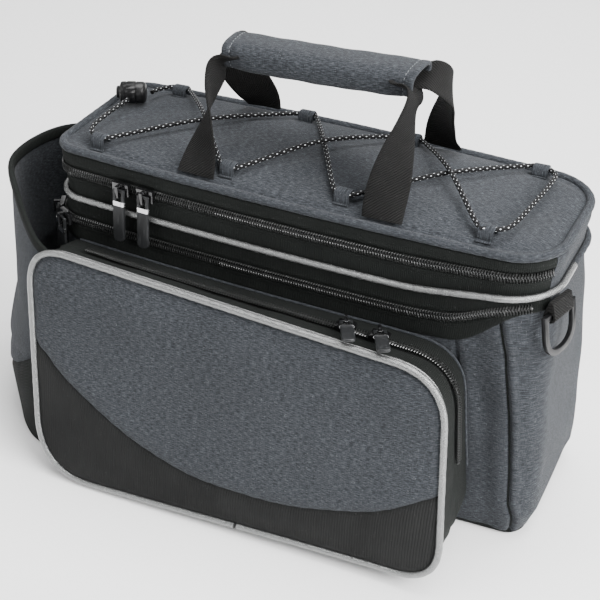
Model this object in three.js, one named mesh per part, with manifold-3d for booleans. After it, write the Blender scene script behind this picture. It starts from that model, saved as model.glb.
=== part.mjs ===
// A bicycle trunk bag: a soft hollow box with a zipped lid, a laced top, a padded handle,
// a deep pocket on its front side and an open bottle pocket round its left end.
// Millimetres, +X along the bag, -Y towards the front pocket, +Z up, origin at the middle of the base.
import * as THREE from 'three';
import { mergeVertices } from 'three/addons/utils/BufferGeometryUtils.js';
import Module from 'manifold-3d';

const wasm = await Module();
wasm.setup();

// Driving dimensions
const bagLength = 370;
const bagWidth = 116;
const sideBow = 6;
const bodyHeight = 191;
const baseThickness = 4;
const bodyWall = 5;
const bodyCornerLeft = 20;
const bodyCornerRight = 33;
const lidBandHeight = 34;
const lidBandWall = 5;
const lidCornerRight = 34;
const lidCornerLeft = 17;
const lidThickness = 5;
const lidCrown = 9;
const lidRollRadius = 3;
const cornerLift = 8;
const gap = 0.3;

const bodyPipingRadius = 2.4;
const expansionBandHeight = 34;
const expansionBandThickness = 1.6;
const zipperWidth = 6;
const zipperThickness = 1.4;

const pocketWidth = 314;
const pocketHeight = 168;
const pocketCentre = -14;
const pocketFloor = 4.2;
const pocketDepthTop = 41;
const pocketDepthBottom = 72;
const pocketCornerSag = 8;
const pocketWall = 2.2;
const pocketPanelThickness = 3;
const pocketPanelCrown = 5;
const pocketPipingRadius = 2.5;

const bottleReach = 58;
const bottleWall = 2.4;
const bottleFloor = 1.2;
const bottleRimHeight = 188;
const bottleBindingRadius = 2.6;

const strapWidth = 28;
const strapThickness = 2;
const strapSpread = 69;
const handleHeight = 304;
const handleLength = 136;
const handleWide = 34;
const handleThick = 21;
const handleTilt = 6;

const cordRadius = 1.6;
const loopWidth = 11;
const loopThickness = 1.2;
const loopDeep = 9;
const loopTunnel = 5.2;
const lockRadius = 8;
const lockLength = 22;

const sliderLength = 13;
const sliderWidth = 9;
const sliderBlock = 3.2;
const bailRoom = 3.6;
const bailThickness = 1.3;
const bailWidth = 2.4;
const pullLength = 40;
const pullWidth = 9;
const pullThickness = 2.2;
const pullWindow = 7.5;
const pullBar = 1.8;

const ringWidth = 36;
const ringHeight = 31;
const ringBar = 2;
const ringAcross = -38;
const ringDrop = 4.2;
const ringRest = 9;
const ringTabWidth = 22;
const ringTabWall = 1.6;
const ringTabLength = 17;

// How the body's outline changes with height: shares of half the length, half the width and the right corners' radius
const bodyRows = [
  { up: 0.0, long: 0.995, wide: 0.97, corner: 0.42 },
  { up: 0.1, long: 1.03, wide: 1.01, corner: 0.5 },
  { up: 0.3, long: 1.032, wide: 1.03, corner: 0.58 },
  { up: 0.55, long: 1.02, wide: 1.03, corner: 0.66 },
  { up: 0.8, long: 1.005, wide: 1.02, corner: 0.82 },
  { up: 1.0, long: 0.985, wide: 1.01, corner: 1.0 },
];

// The front pocket's corners: shares of its width from its middle and of its height, and a radius in shares of it
const pocketCorners = [
  { name: 'top right', across: 0.475, up: 0.925, round: 0.2 },
  { name: 'top left', across: -0.515, up: 1.0, round: 0.17 },
  { name: 'bottom left', across: -0.46, up: 0.0, round: 0.25 },
  { name: 'bottom right', across: 0.52, up: 0.06, round: 0.17 },
];

// The seam between the pocket's upper and lower front panels: shares of the pocket's width and height
const pocketSeam = [
  { across: -0.62, up: 0.68 },
  { across: -0.485, up: 0.58 },
  { across: -0.4, up: 0.48 },
  { across: -0.25, up: 0.325 },
  { across: -0.1, up: 0.225 },
  { across: 0.06, up: 0.2 },
  { across: 0.2, up: 0.22 },
  { across: 0.36, up: 0.3 },
  { across: 0.48, up: 0.42 },
  { across: 0.62, up: 0.56 },
];

// The bottle pocket's wall from its seam on the front pocket round to the bag's back corner.
// out is a share of its reach past the bag's end, ahead a share of half the bag's width,
// rim and seam are shares of the rim's height
const bottleStations = [
  { lowOut: -0.34, lowAhead: -2.05, highOut: -0.17, highAhead: -1.5, rim: 0.8, seam: 0.48 },
  { lowOut: 0.12, lowAhead: -1.93, highOut: 0.12, highAhead: -1.42, rim: 0.87, seam: 0.35 },
  { lowOut: 0.62, lowAhead: -1.4, highOut: 0.58, highAhead: -1.1, rim: 0.97, seam: 0.22 },
  { lowOut: 0.95, lowAhead: -0.68, highOut: 0.97, highAhead: -0.6, rim: 1.0, seam: 0.16 },
  { lowOut: 1.0, lowAhead: 0.1, highOut: 1.0, highAhead: 0.12, rim: 1.0, seam: 0.15 },
  { lowOut: 0.72, lowAhead: 0.66, highOut: 0.72, highAhead: 0.66, rim: 0.99, seam: 0.15 },
  { lowOut: 0.13, lowAhead: 0.88, highOut: 0.1, highAhead: 0.86, rim: 0.98, seam: 0.15 },
];

// The webbing's way from the lid's edge up to the handle's end. bulge is a share of the webbing's width
// by which it stands outside the line from foot to handle, across a share of half the bag's width,
// up a share of the handle's rise, and face the direction of the webbing's width.
const frontStrapRow = [
  { bulge: -0.02, across: 0.98, up: 0.0, face: [1, 0, 0] },
  { bulge: -0.01, across: 0.84, up: 0.22, face: [0.98, 0.2, -0.1] },
  { bulge: 0.05, across: 0.6, up: 0.56, face: [0.72, 0.62, -0.3] },
  { bulge: 0.07, across: 0.38, up: 0.84, face: [0.25, 0.88, -0.42] },
  { bulge: 0.02, across: 0.28, up: 0.965, face: [0, 0.9, -0.45] },
];
const backStrapRow = [
  { bulge: 0.06, across: 0.86, up: 0.0, face: [1, 0, 0] },
  { bulge: 0.06, across: 0.75, up: 0.22, face: [0.98, 0.2, -0.1] },
  { bulge: 0.1, across: 0.54, up: 0.56, face: [0.72, 0.62, -0.3] },
  { bulge: 0.1, across: 0.36, up: 0.84, face: [0.25, 0.88, -0.42] },
  { bulge: 0.02, across: 0.28, up: 0.965, face: [0, 0.9, -0.4] },
];

// Where the lacing loops sit: along the bag in millimetres, one row on each long side
const loopRows = {
  front: { along: [-151, -48, 37, 136], across: -0.8 },
  back: { along: [-138, -33, 49, 143], across: 0.8 },
};

// Derived sizes
const halfLength = bagLength / 2;
const halfWidth = bagWidth / 2;
const lidTop = bodyHeight + lidBandHeight;
const pipingHeight = bodyHeight + bodyPipingRadius / 2;
const lidSurface = lidTop + gap + lidThickness;
const rollHeight = lidTop + gap + lidRollRadius;

// Plan outlines
const cornerSteps = 5;
const longSteps = 8;
const endSteps = 3;
const loopCount = 4 * (cornerSteps + 1) + 2 * (longSteps - 1) + 2 * (endSteps - 1);

function smooth(t) {
  const s = Math.min(1, Math.max(0, t));
  return s * s * (3 - 2 * s);
}

function mix(a, b, t) {
  return a + (b - a) * t;
}

// A rounded rectangle as a ring of points, counter-clockwise from the right end, its long sides bowed outwards
function ring(long, wide, cornerRight, cornerLeft, bow) {
  const points = [];
  const centres = [
    [long - cornerRight, wide - cornerRight, cornerRight, longSteps],
    [-long + cornerLeft, wide - cornerLeft, cornerLeft, endSteps],
    [-long + cornerLeft, -wide + cornerLeft, cornerLeft, longSteps],
    [long - cornerRight, -wide + cornerRight, cornerRight, endSteps],
  ];
  centres.forEach(([x, y, radius, steps], k) => {
    for (let i = 0; i <= cornerSteps; i++) {
      const angle = (k + i / cornerSteps) * Math.PI / 2;
      points.push([x + radius * Math.cos(angle), y + radius * Math.sin(angle)]);
    }
    const [nextX, nextY, nextRadius] = centres[(k + 1) % 4];
    const angle = (k + 1) * Math.PI / 2;
    const start = points[points.length - 1];
    const end = [nextX + nextRadius * Math.cos(angle), nextY + nextRadius * Math.sin(angle)];
    for (let i = 1; i < steps; i++) {
      points.push([mix(start[0], end[0], i / steps), mix(start[1], end[1], i / steps)]);
    }
  });
  return points.map(([x, y]) => [x, y * (1 + bow / wide * (1 - (x / long) ** 2))]);
}

function bodyShares(z) {
  const up = Math.min(1, Math.max(0, z / bodyHeight));
  let k = 0;
  while (k < bodyRows.length - 2 && up > bodyRows[k + 1].up) k++;
  const a = bodyRows[k];
  const b = bodyRows[k + 1];
  const t = (up - a.up) / (b.up - a.up);
  return { long: mix(a.long, b.long, t), wide: mix(a.wide, b.wide, t), corner: mix(a.corner, b.corner, t) };
}

// The bag's outside at a height: the body up to its piping, then the zipped band up to the lid's edge
function skinSizes(z) {
  const shares = bodyShares(z);
  const body = {
    long: halfLength * shares.long,
    wide: halfWidth * shares.wide,
    right: bodyCornerRight * shares.corner,
    left: bodyCornerLeft,
  };
  const t = smooth((z - bodyHeight) / lidBandHeight);
  return {
    long: mix(body.long, halfLength, t),
    wide: mix(body.wide, halfWidth, t),
    right: mix(body.right, lidCornerRight, t),
    left: mix(body.left, lidCornerLeft, t),
  };
}

// The piping line rises a little round the front right corner, where the lid is pulled down on it
function lift(x, z) {
  const share = z < bodyHeight ? (z / bodyHeight) ** 3 : (lidTop - z) / lidBandHeight;
  return cornerLift * Math.max(0, share) * smooth((x - halfLength * 0.45) / (halfLength * 0.45));
}

function skinRing(z, offset = 0) {
  const size = skinSizes(z);
  const plan = ring(size.long + offset, size.wide + offset, size.right + offset, size.left + offset, sideBow);
  return plan.map(([x, y]) => [x, y, z + lift(x, z)]);
}

// A stretch of a ring between two places counted in points, which may lie between them
function stretch(points, from, to) {
  const at = (u) => {
    const i = Math.floor(u);
    const a = points[i % points.length];
    const b = points[(i + 1) % points.length];
    return a.map((value, k) => mix(value, b[k], u - i));
  };
  const out = [at(from)];
  for (let i = Math.floor(from) + 1; i < to; i++) out.push(at(i));
  out.push(at(to));
  return out;
}

// Closed meshes
function solid(vertices, triangles) {
  const geometry = new THREE.BufferGeometry();
  geometry.setAttribute('position', new THREE.Float32BufferAttribute(vertices.flat(), 3));
  geometry.setIndex(triangles.flat());
  return geometry;
}

// A wall between an outer and an inner grid of points, rows upwards, each row going round to the left
function wall(outer, inner, closed) {
  const rows = outer.length;
  const cols = outer[0].length;
  const vertices = [...outer.flat(), ...inner.flat()];
  const triangles = [];
  const out = (r, c) => r * cols + (c % cols);
  const inn = (r, c) => rows * cols + out(r, c);
  const quad = (a, b, c, d) => triangles.push([a, b, c], [a, c, d]);
  const last = closed ? cols : cols - 1;
  for (let c = 0; c < last; c++) {
    for (let r = 0; r < rows - 1; r++) {
      quad(out(r, c), out(r, c + 1), out(r + 1, c + 1), out(r + 1, c));
      quad(inn(r, c), inn(r + 1, c), inn(r + 1, c + 1), inn(r, c + 1));
    }
    quad(out(0, c), inn(0, c), inn(0, c + 1), out(0, c + 1));
    quad(out(rows - 1, c), out(rows - 1, c + 1), inn(rows - 1, c + 1), inn(rows - 1, c));
  }
  if (!closed) {
    for (let r = 0; r < rows - 1; r++) {
      quad(out(r, 0), out(r + 1, 0), inn(r + 1, 0), inn(r, 0));
      quad(out(r, cols - 1), inn(r, cols - 1), inn(r + 1, cols - 1), out(r + 1, cols - 1));
    }
  }
  return solid(vertices, triangles);
}

// A panel inside an outline: rings of points shrink to the middle, on an upper and a lower face
function panel(outline, shares, upper, lower) {
  const count = outline.length;
  const middle = [0, 1].map((k) => outline.reduce((sum, p) => sum + p[k], 0) / count);
  const vertices = [];
  const triangles = [];
  [upper, lower].forEach((face) => {
    shares.forEach((share) => {
      outline.forEach((p) => {
        const u = mix(middle[0], p[0], share);
        const v = mix(middle[1], p[1], share);
        vertices.push(face(u, v, share));
      });
    });
    vertices.push(face(middle[0], middle[1], 0));
  });
  const side = shares.length * count + 1;
  for (let c = 0; c < count; c++) {
    const d = (c + 1) % count;
    for (let r = 0; r < shares.length - 1; r++) {
      const [a, b] = [r * count, (r + 1) * count];
      triangles.push([a + c, a + d, b + d], [a + c, b + d, b + c]);
      triangles.push([side + a + c, side + b + d, side + a + d], [side + a + c, side + b + c, side + b + d]);
    }
    const inmost = (shares.length - 1) * count;
    triangles.push([inmost + c, inmost + d, side - 1], [side + inmost + d, side + inmost + c, 2 * side - 1]);
    triangles.push([side + c, side + d, d], [side + c, d, c]);
  }
  return solid(vertices, triangles);
}

// A curve that is stepped by its points and not by its length, so that short bends keep their steps
class Route extends THREE.CatmullRomCurve3 {
  constructor(points) {
    super(points.map((p) => new THREE.Vector3(...p)), false, 'centripetal');
  }

  getUtoTmapping(u) {
    return u;
  }
}

function tube(points, radius, sides, stepsEach) {
  const section = new THREE.Shape();
  for (let i = 0; i < sides; i++) {
    const angle = 2 * Math.PI * i / sides;
    const [x, y] = [radius * Math.cos(angle), radius * Math.sin(angle)];
    if (i === 0) section.moveTo(x, y);
    else section.lineTo(x, y);
  }
  section.closePath();
  const steps = (points.length - 1) * stepsEach;
  return new THREE.ExtrudeGeometry(section, { steps, bevelEnabled: false, extrudePath: new Route(points) });
}

// Webbing: a flat band through stations with a centre and a width direction
function webbing(stations, width, thickness, stepsEach) {
  const path = new Route(stations.map((s) => s.at));
  const faces = new Route(stations.map((s) => s.face));
  const steps = (stations.length - 1) * stepsEach;
  const rows = [];
  for (let i = 0; i <= steps; i++) {
    const centre = path.getPoint(i / steps);
    const along = path.getTangent(i / steps);
    const face = faces.getPoint(i / steps);
    face.addScaledVector(along, -face.dot(along)).normalize();
    const normal = new THREE.Vector3().crossVectors(face, along);
    const corner = (w, n) => centre.clone().addScaledVector(face, w * width / 2)
      .addScaledVector(normal, n * thickness / 2).toArray();
    rows.push([corner(-1, -1), corner(1, -1), corner(1, 1), corner(-1, 1)]);
  }
  const vertices = rows.flat();
  const triangles = [[0, 1, 2], [0, 2, 3]];
  for (let r = 0; r < steps; r++) {
    for (let c = 0; c < 4; c++) {
      const [a, b] = [4 * r + c, 4 * r + (c + 1) % 4];
      if (c < 2) triangles.push([a, a + 4, b + 4], [a, b + 4, b]);
      else triangles.push([a, a + 4, b], [b, a + 4, b + 4]);
    }
  }
  const end = 4 * steps;
  triangles.push([end, end + 2, end + 1], [end, end + 3, end + 2]);
  return solid(vertices, triangles);
}

// Cutting and joining
function toManifold(geometry) {
  const plain = geometry.clone();
  plain.deleteAttribute('normal');
  plain.deleteAttribute('uv');
  const merged = mergeVertices(plain, 1e-4);
  return new wasm.Manifold(new wasm.Mesh({
    numProp: 3,
    vertProperties: new Float32Array(merged.attributes.position.array),
    triVerts: new Uint32Array(merged.index.array),
  }));
}

function fromManifold(manifold) {
  const mesh = manifold.getMesh();
  const geometry = new THREE.BufferGeometry();
  geometry.setAttribute('position', new THREE.BufferAttribute(new Float32Array(mesh.vertProperties), 3));
  geometry.setIndex(Array.from(mesh.triVerts));
  return geometry;
}

// Colours
const finishes = {
  heather: { color: 0x4b5058, roughness: 0.9, metalness: 0 },
  black: { color: 0x1c1d1e, roughness: 0.85, metalness: 0 },
  webbing: { color: 0x161617, roughness: 0.8, metalness: 0 },
  silver: { color: 0xb9bbbd, roughness: 0.45, metalness: 0.2 },
  zipper: { color: 0x141415, roughness: 0.5, metalness: 0 },
  plastic: { color: 0x101011, roughness: 0.35, metalness: 0 },
  metal: { color: 0x1b1b1d, roughness: 0.25, metalness: 0.8 },
  rubber: { color: 0x3a3b3d, roughness: 0.7, metalness: 0 },
  cord: { color: 0x55565a, roughness: 0.8, metalness: 0 },
};

const bag = new THREE.Group();

function add(name, geometry, finish) {
  const mesh = new THREE.Mesh(geometry, new THREE.MeshStandardMaterial(finishes[finish]));
  mesh.name = name;
  bag.add(mesh);
  return mesh;
}

// Places counted along a skin ring, in points
const backLeftCorner = cornerSteps + longSteps + cornerSteps / 2;
const frontLeftStart = 2 * cornerSteps + longSteps + endSteps;
const frontRightStart = frontLeftStart + cornerSteps + longSteps;
const frontRightCorner = frontRightStart + cornerSteps / 2;
const rightEndMiddle = frontRightStart + cornerSteps + endSteps / 2;

// The base and the hollow body
const panelShares = [1, 0.6];
const baseOutline = skinRing(0, -gap);
add('base_panel', panel(
  baseOutline,
  panelShares,
  (x, y) => [x, y, baseThickness],
  (x, y) => [x, y, 0],
), 'black');

const bodyLevels = bodyRows.map((row) => Math.max(baseThickness + gap, row.up * bodyHeight));
add('body_shell', wall(
  bodyLevels.map((z) => skinRing(z)),
  bodyLevels.map((z) => skinRing(z, -bodyWall)),
  true,
), 'heather');

// The black band of the expansion zip: it narrows round the front right corner and stops there
const expansionFrom = 2 * cornerSteps + longSteps;
const expansionTo = frontRightCorner + 1;
const expansionTop = pipingHeight - bodyPipingRadius - gap;

const expansionLow = bodyHeight - expansionBandHeight;
function expansionRows(offset) {
  const [lowRow, highRow] = [expansionLow, expansionTop]
    .map((z) => stretch(skinRing(z, offset), expansionFrom, expansionTo));
  return [0, 0.5, 1].map((t) => highRow.map((high, k) => {
    const narrow = smooth((high[0] - halfLength * 0.62) / (halfLength * 0.3)) * 0.75;
    const low = lowRow[k].map((value, axis) => mix(value, high[axis], narrow));
    return low.map((value, axis) => mix(value, high[axis], t));
  }));
}
add('expansion_band', wall(
  expansionRows(gap + expansionBandThickness),
  expansionRows(gap),
  false,
), 'black');

// Zip coils: raised strips along the middle of their bands
function coilRows(rowsAt, middle, offset, from, to) {
  return [-0.5, 0.5].map((side) => stretch(rowsAt(middle, side, offset), from, to));
}
const expansionMiddle = bodyHeight - expansionBandHeight / 2;
const expansionSkin = gap + expansionBandThickness + gap;
function onExpansion(middle, side, offset) {
  const centre = skinRing(middle, offset);
  const top = skinRing(expansionTop, offset);
  return centre.map((p, k) => {
    const rise = smooth((p[0] - halfLength * 0.62) / (halfLength * 0.3)) * 0.72;
    const q = p.map((value, axis) => mix(value, top[k][axis], rise));
    return [q[0], q[1], q[2] + side * zipperWidth * (1 - 0.5 * rise)];
  });
}
const expansionCoilFrom = expansionFrom + 0.1;
const expansionCoilTo = expansionTo - 1;
add('expansion_zipper', wall(
  coilRows(onExpansion, expansionMiddle, expansionSkin + zipperThickness, expansionCoilFrom, expansionCoilTo),
  coilRows(onExpansion, expansionMiddle, expansionSkin, expansionCoilFrom, expansionCoilTo),
  false,
), 'zipper');

// The zipped band of the lid: black round the front and left end, self fabric round the back and right end
const bandLevels = [bodyHeight + gap, bodyHeight + lidBandHeight / 2, lidTop];
const bandSplit = 0.06;
function bandPart(from, to) {
  return wall(
    bandLevels.map((z) => stretch(skinRing(z), from, to)),
    bandLevels.map((z) => stretch(skinRing(z, -lidBandWall), from, to)),
    false,
  );
}
add('lid_band_front', bandPart(backLeftCorner, frontRightCorner + 1), 'black');
add('lid_band_back', bandPart(frontRightCorner + 1 + bandSplit, backLeftCorner + loopCount - bandSplit), 'heather');

const lidZipHeight = bodyHeight + lidBandHeight * 0.6;
function onLidBand(middle, side, offset) {
  return skinRing(middle + side * zipperWidth, offset);
}
add('lid_zipper', wall(
  coilRows(onLidBand, lidZipHeight, gap + zipperThickness, backLeftCorner + 0.1, frontRightCorner + 0.9),
  coilRows(onLidBand, lidZipHeight, gap, backLeftCorner + 0.1, frontRightCorner + 0.9),
  false,
), 'zipper');

// Reflective piping round the top of the body, from its tucked end on the right end round to the back
const pipingRing = skinRing(pipingHeight, bodyPipingRadius + gap);
add('body_piping', tube(
  stretch(pipingRing, cornerSteps, rightEndMiddle - 0.2),
  bodyPipingRadius,
  6,
  1,
), 'silver');

// The lid's crowned panel inside its rolled edge
function crown(share) {
  return lidCrown * (1 - share * share);
}
const rollRing = skinRing(lidTop, -lidRollRadius * 0.6).map(([x, y]) => [x, y, rollHeight]);
const lidInset = -lidRollRadius * 1.6 - gap;
const lidOutline = skinRing(lidTop, lidInset);
const lidShares = [1, 0.82, 0.5];
add('lid_panel', panel(
  lidOutline,
  lidShares,
  (x, y, share) => [x, y, lidSurface + crown(share)],
  (x, y, share) => [x, y, lidTop + gap + crown(share)],
), 'heather');
add('lid_roll', tube(
  stretch(rollRing, cornerSteps + longSteps / 2 + 0.02, cornerSteps + longSteps / 2 - 0.02 + loopCount),
  lidRollRadius,
  6,
  1,
), 'heather');

// The lid's upper face at a place, from the same rings as the panel
function lidHeight(x, y) {
  const size = skinSizes(lidTop);
  const across = Math.abs(y) / ((size.wide + lidInset) * (1 + sideBow / size.wide * (1 - (x / size.long) ** 2)));
  const along = Math.abs(x) / (size.long + lidInset);
  const share = Math.min(1, Math.max(across, along));
  const k = lidShares.findIndex((s) => s <= share);
  const [outer, inner] = k < 0 ? [lidShares[lidShares.length - 1], 0] : [lidShares[Math.max(0, k - 1)], lidShares[k]];
  const t = outer === inner ? 0 : (outer - share) / (outer - inner);
  return lidSurface + mix(crown(outer), crown(inner), t);
}

// Lacing loops: a folded tab of the lid's fabric, open from side to side for the cord
function lacingLoop(x, y) {
  const outside = new THREE.Shape();
  const half = loopDeep / 2 + loopThickness;
  const top = loopTunnel + 2 * loopThickness;
  outside.moveTo(-half, 0);
  outside.lineTo(half, 0);
  outside.lineTo(half, top * 0.6);
  outside.lineTo(half * 0.5, top);
  outside.lineTo(-half * 0.5, top);
  outside.lineTo(-half, top * 0.6);
  outside.closePath();
  const inside = new THREE.Path();
  inside.absellipse(0, top / 2, loopDeep / 2, loopTunnel / 2, 0, 2 * Math.PI);
  outside.holes.push(inside);
  const geometry = new THREE.ExtrudeGeometry(outside, { depth: loopWidth, bevelEnabled: false, curveSegments: 4 });
  geometry.translate(0, 0, -loopWidth / 2);
  geometry.rotateX(Math.PI / 2);
  geometry.rotateZ(Math.PI / 2);
  geometry.translate(x, y, lidHeight(x, y * 0.86) + gap);
  return geometry;
}
const loopPlaces = {};
['front', 'back'].forEach((side) => {
  loopRows[side].along.forEach((x, k) => {
    const y = halfWidth * loopRows[side].across;
    loopPlaces[`${side}${k + 1}`] = [x, y];
    add(`lace_loop_${side}_${k + 1}`, lacingLoop(x, y), 'heather');
  });
});

// Handle straps and the padded wrap
const handleEnd = handleLength / 2 + 4 * gap;
const strapFoot = {
  front: lidSurface + 0.9 * strapThickness,
  back: lidSurface + crown(0.8) + strapThickness + 3 * gap,
};
function handleLean(x) {
  return handleTilt * x / handleLength;
}
function strap(rows, side, front) {
  const foot = front < 0 ? strapFoot.front : strapFoot.back;
  const rise = handleHeight - foot;
  return rows.map((row) => {
    const x = side * (mix(strapSpread, handleEnd, smooth(row.up)) + row.bulge * strapWidth);
    return {
      at: [x, front * halfWidth * row.across, foot + rise * row.up + handleLean(x) * row.up],
      face: [side * row.face[0], -front * row.face[1], row.face[2]],
    };
  });
}
[['left', -1], ['right', 1]].forEach(([sideName, side]) => {
  add(`strap_front_${sideName}`, webbing(strap(frontStrapRow, side, -1), strapWidth, strapThickness, 3), 'webbing');
  add(`strap_back_${sideName}`, webbing(strap(backStrapRow, side, 1), strapWidth, strapThickness, 3), 'webbing');
});

const wrapSection = new THREE.Shape();
const wrapSides = 14;
for (let i = 0; i < wrapSides; i++) {
  const angle = 2 * Math.PI * i / wrapSides;
  const round = (value) => Math.sign(value) * Math.abs(value) ** 0.7;
  const [y, z] = [handleWide / 2 * round(Math.cos(angle)), handleThick / 2 * round(Math.sin(angle))];
  if (i === 0) wrapSection.moveTo(y, z);
  else wrapSection.lineTo(y, z);
}
wrapSection.closePath();
const wrapGeometry = new THREE.ExtrudeGeometry(wrapSection, { depth: handleLength, steps: 3, bevelEnabled: false });
wrapGeometry.translate(0, 0, -handleLength / 2);
wrapGeometry.rotateX(Math.PI / 2);
wrapGeometry.rotateZ(Math.PI / 2);
const wrapPlaces = wrapGeometry.attributes.position;
for (let i = 0; i < wrapPlaces.count; i++) {
  wrapPlaces.setZ(i, wrapPlaces.getZ(i) + handleHeight + handleLean(wrapPlaces.getX(i)));
}
add('handle_wrap', wrapGeometry, 'heather');

// The elastic lacing: one cord from its lock through all the loops and back. Its points are chosen by hand.
const lacingRoute = [
  [-160.5, 6.6, 241], [-162, -14, 240.6], [-163.5, -35, 238.6],
  [-159.5, -43.6, 237.9], [-151, -47.2, 237.7], [-143, -44.6, 237.8], [-92, -1, 243.6], [-41, 44.6, 239.2],
  [-33, 47.4, 239.1], [-25, 44.6, 239.2], [2, 0, 243.6], [29, -44.6, 239.2],
  [37, -47.4, 239.1], [45, -44.6, 239.2], [90, 0, 243.6], [134.5, 44.6, 238.2],
  [143, 47.4, 237.9], [151.3, 44.4, 237.8], [155.5, 34, 238.6], [154, 0, 239.6], [150, -34, 239],
  [145, -44.4, 238.9], [136, -47.4, 238.9], [128, -44.6, 239], [92.5, 0, 247.2], [57, 44.6, 239.2],
  [49, 47.4, 239.1], [41, 44.6, 239.2], [0.5, 0, 247.2], [-40, -44.6, 239.2],
  [-48, -47.4, 239.1], [-56, -44.6, 239.2], [-93, 0, 247.2], [-130, 44.6, 238.6],
  [-138, 47.4, 238.3], [-146, 44.6, 238.3], [-151, 33.5, 239.6], [-151.5, 26, 240.4],
];
add('lace_cord', tube(lacingRoute, cordRadius, 8, 2), 'cord');

// The cord lock: a barrel lying on the lid's back left corner
const lockPlace = [-163, 16];
const lockTurn = 0.42;
const lockGeometry = new THREE.CylinderGeometry(lockRadius, lockRadius, lockLength, 12, 1);
lockGeometry.rotateZ(Math.PI / 2);
lockGeometry.rotateZ(lockTurn);
lockGeometry.translate(lockPlace[0], lockPlace[1], lidHeight(...lockPlace) + 2 * gap + lockRadius + 0.5);
add('cord_lock', lockGeometry, 'plastic');

// The front face of the body and lid band at a place along the bag
function frontSkin(x, z) {
  const size = skinSizes(z);
  const radius = x > 0 ? size.right : size.left;
  const beyond = Math.max(0, Math.abs(x) - (size.long - radius));
  const straight = size.wide - radius + Math.sqrt(Math.max(0, radius * radius - beyond * beyond));
  return -straight * (1 + sideBow / size.wide * (1 - (x / size.long) ** 2));
}

// The left end of the body at a place across the bag
function endSkin(y, z) {
  const size = skinSizes(z);
  const beyond = Math.max(0, Math.abs(y) - (size.wide - size.left));
  return -(size.long - size.left + Math.sqrt(Math.max(0, size.left ** 2 - beyond ** 2)));
}

// The front pocket's outline in X and Z, counter-clockwise seen from the front
const cornerCurveSteps = 5;
const pocketSideSteps = [8, 4, 8, 4];
function pocketPoint(across, up) {
  return [pocketCentre + across * pocketWidth, pocketFloor + up * pocketHeight];
}
function pocketOutline() {
  const places = pocketCorners.map((corner) => pocketPoint(corner.across, corner.up));
  const toward = (a, b, length) => {
    const far = Math.hypot(b[0] - a[0], b[1] - a[1]);
    return [0, 1].map((k) => mix(a[k], b[k], length / far));
  };
  const points = [];
  places.forEach((place, k) => {
    const reach = pocketCorners[k].round * pocketHeight;
    const before = toward(place, places[(k + 3) % 4], reach);
    const after = toward(place, places[(k + 1) % 4], reach);
    const curve = new THREE.QuadraticBezierCurve(...[before, place, after].map((p) => new THREE.Vector2(...p)));
    for (let i = 0; i <= cornerCurveSteps; i++) points.push(curve.getPoint(i / cornerCurveSteps).toArray());
    const next = (k + 1) % 4;
    const start = toward(places[next], place, pocketCorners[next].round * pocketHeight);
    const steps = pocketSideSteps[k];
    for (let i = 1; i < steps; i++) points.push([0, 1].map((axis) => mix(after[axis], start[axis], i / steps)));
  });
  return points;
}

function offsetOutline(points, distance) {
  return points.map((p, k) => {
    const a = points[(k + points.length - 1) % points.length];
    const b = points[(k + 1) % points.length];
    const length = Math.hypot(b[0] - a[0], b[1] - a[1]);
    return [p[0] + distance * (b[1] - a[1]) / length, p[1] - distance * (b[0] - a[0]) / length];
  });
}

// The pocket leans out towards its floor, and most at its lower left corner
function pocketFront(x, z) {
  const up = (z - pocketFloor) / pocketHeight;
  const left = smooth((pocketCentre + pocketWidth / 2 - x) / pocketWidth);
  const depth = mix(pocketDepthBottom, pocketDepthTop, up) + pocketCornerSag * left * (1 - up);
  return -(halfWidth + sideBow + depth);
}

const pocketRing = pocketOutline();
const pocketBackTop = expansionLow - gap - 0.3;
function gussetRow(t, offset) {
  return offsetOutline(pocketRing, offset).map(([x, z], k) => {
    const swell = 1 + 0.012 * Math.sin(Math.PI * t);
    const backX = pocketCentre + (x - pocketCentre) * 0.985;
    const backZ = Math.min(pocketBackTop + offset, pocketFloor + (z - pocketFloor) * 0.965);
    const frontPlace = [x, pocketFront(...pocketRing[k]), z];
    const backPlace = [backX, frontSkin(backX, backZ) - gap, backZ];
    const place = frontPlace.map((value, axis) => mix(backPlace[axis], value, t));
    place[0] = pocketCentre + (place[0] - pocketCentre) * swell;
    return place;
  });
}
const gussetShares = [0, 0.5, 1];
add('pocket_gusset', wall(
  gussetShares.map((t) => gussetRow(t, 0)),
  gussetShares.map((t) => gussetRow(t, -pocketWall)),
  true,
), 'black');

// The padded front panel, cut along its curved seam into the heather upper and the ribbed lower part
function panelFace(thickness) {
  return (x, z, share) => {
    const swell = pocketPanelCrown * (1 - share ** 4);
    return [x, pocketFront(x, z) - gap - thickness - swell, z];
  };
}
const wholePanel = toManifold(panel(pocketRing, [1, 0.9, 0.6, 0.3], panelFace(pocketPanelThickness), panelFace(0)));
function belowSeam(shift) {
  const seam = new THREE.CatmullRomCurve3(pocketSeam.map((row) => {
    const [x, z] = pocketPoint(row.across, row.up);
    return new THREE.Vector3(x, z + shift, 0);
  }));
  const edge = seam.getPoints(24).map((p) => new THREE.Vector2(p.x, p.y));
  const under = -pocketHeight;
  const region = new THREE.Shape([
    new THREE.Vector2(edge[0].x, under),
    new THREE.Vector2(edge[edge.length - 1].x, under),
    ...edge.reverse(),
  ]);
  const depth = 4 * pocketDepthBottom;
  const geometry = new THREE.ExtrudeGeometry(region, { depth, bevelEnabled: false });
  geometry.rotateX(Math.PI / 2);
  return toManifold(geometry);
}
add('pocket_panel_lower', fromManifold(wholePanel.intersect(belowSeam(0))), 'black');
add('pocket_panel_upper', fromManifold(wholePanel.subtract(belowSeam(gap))), 'heather');

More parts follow.
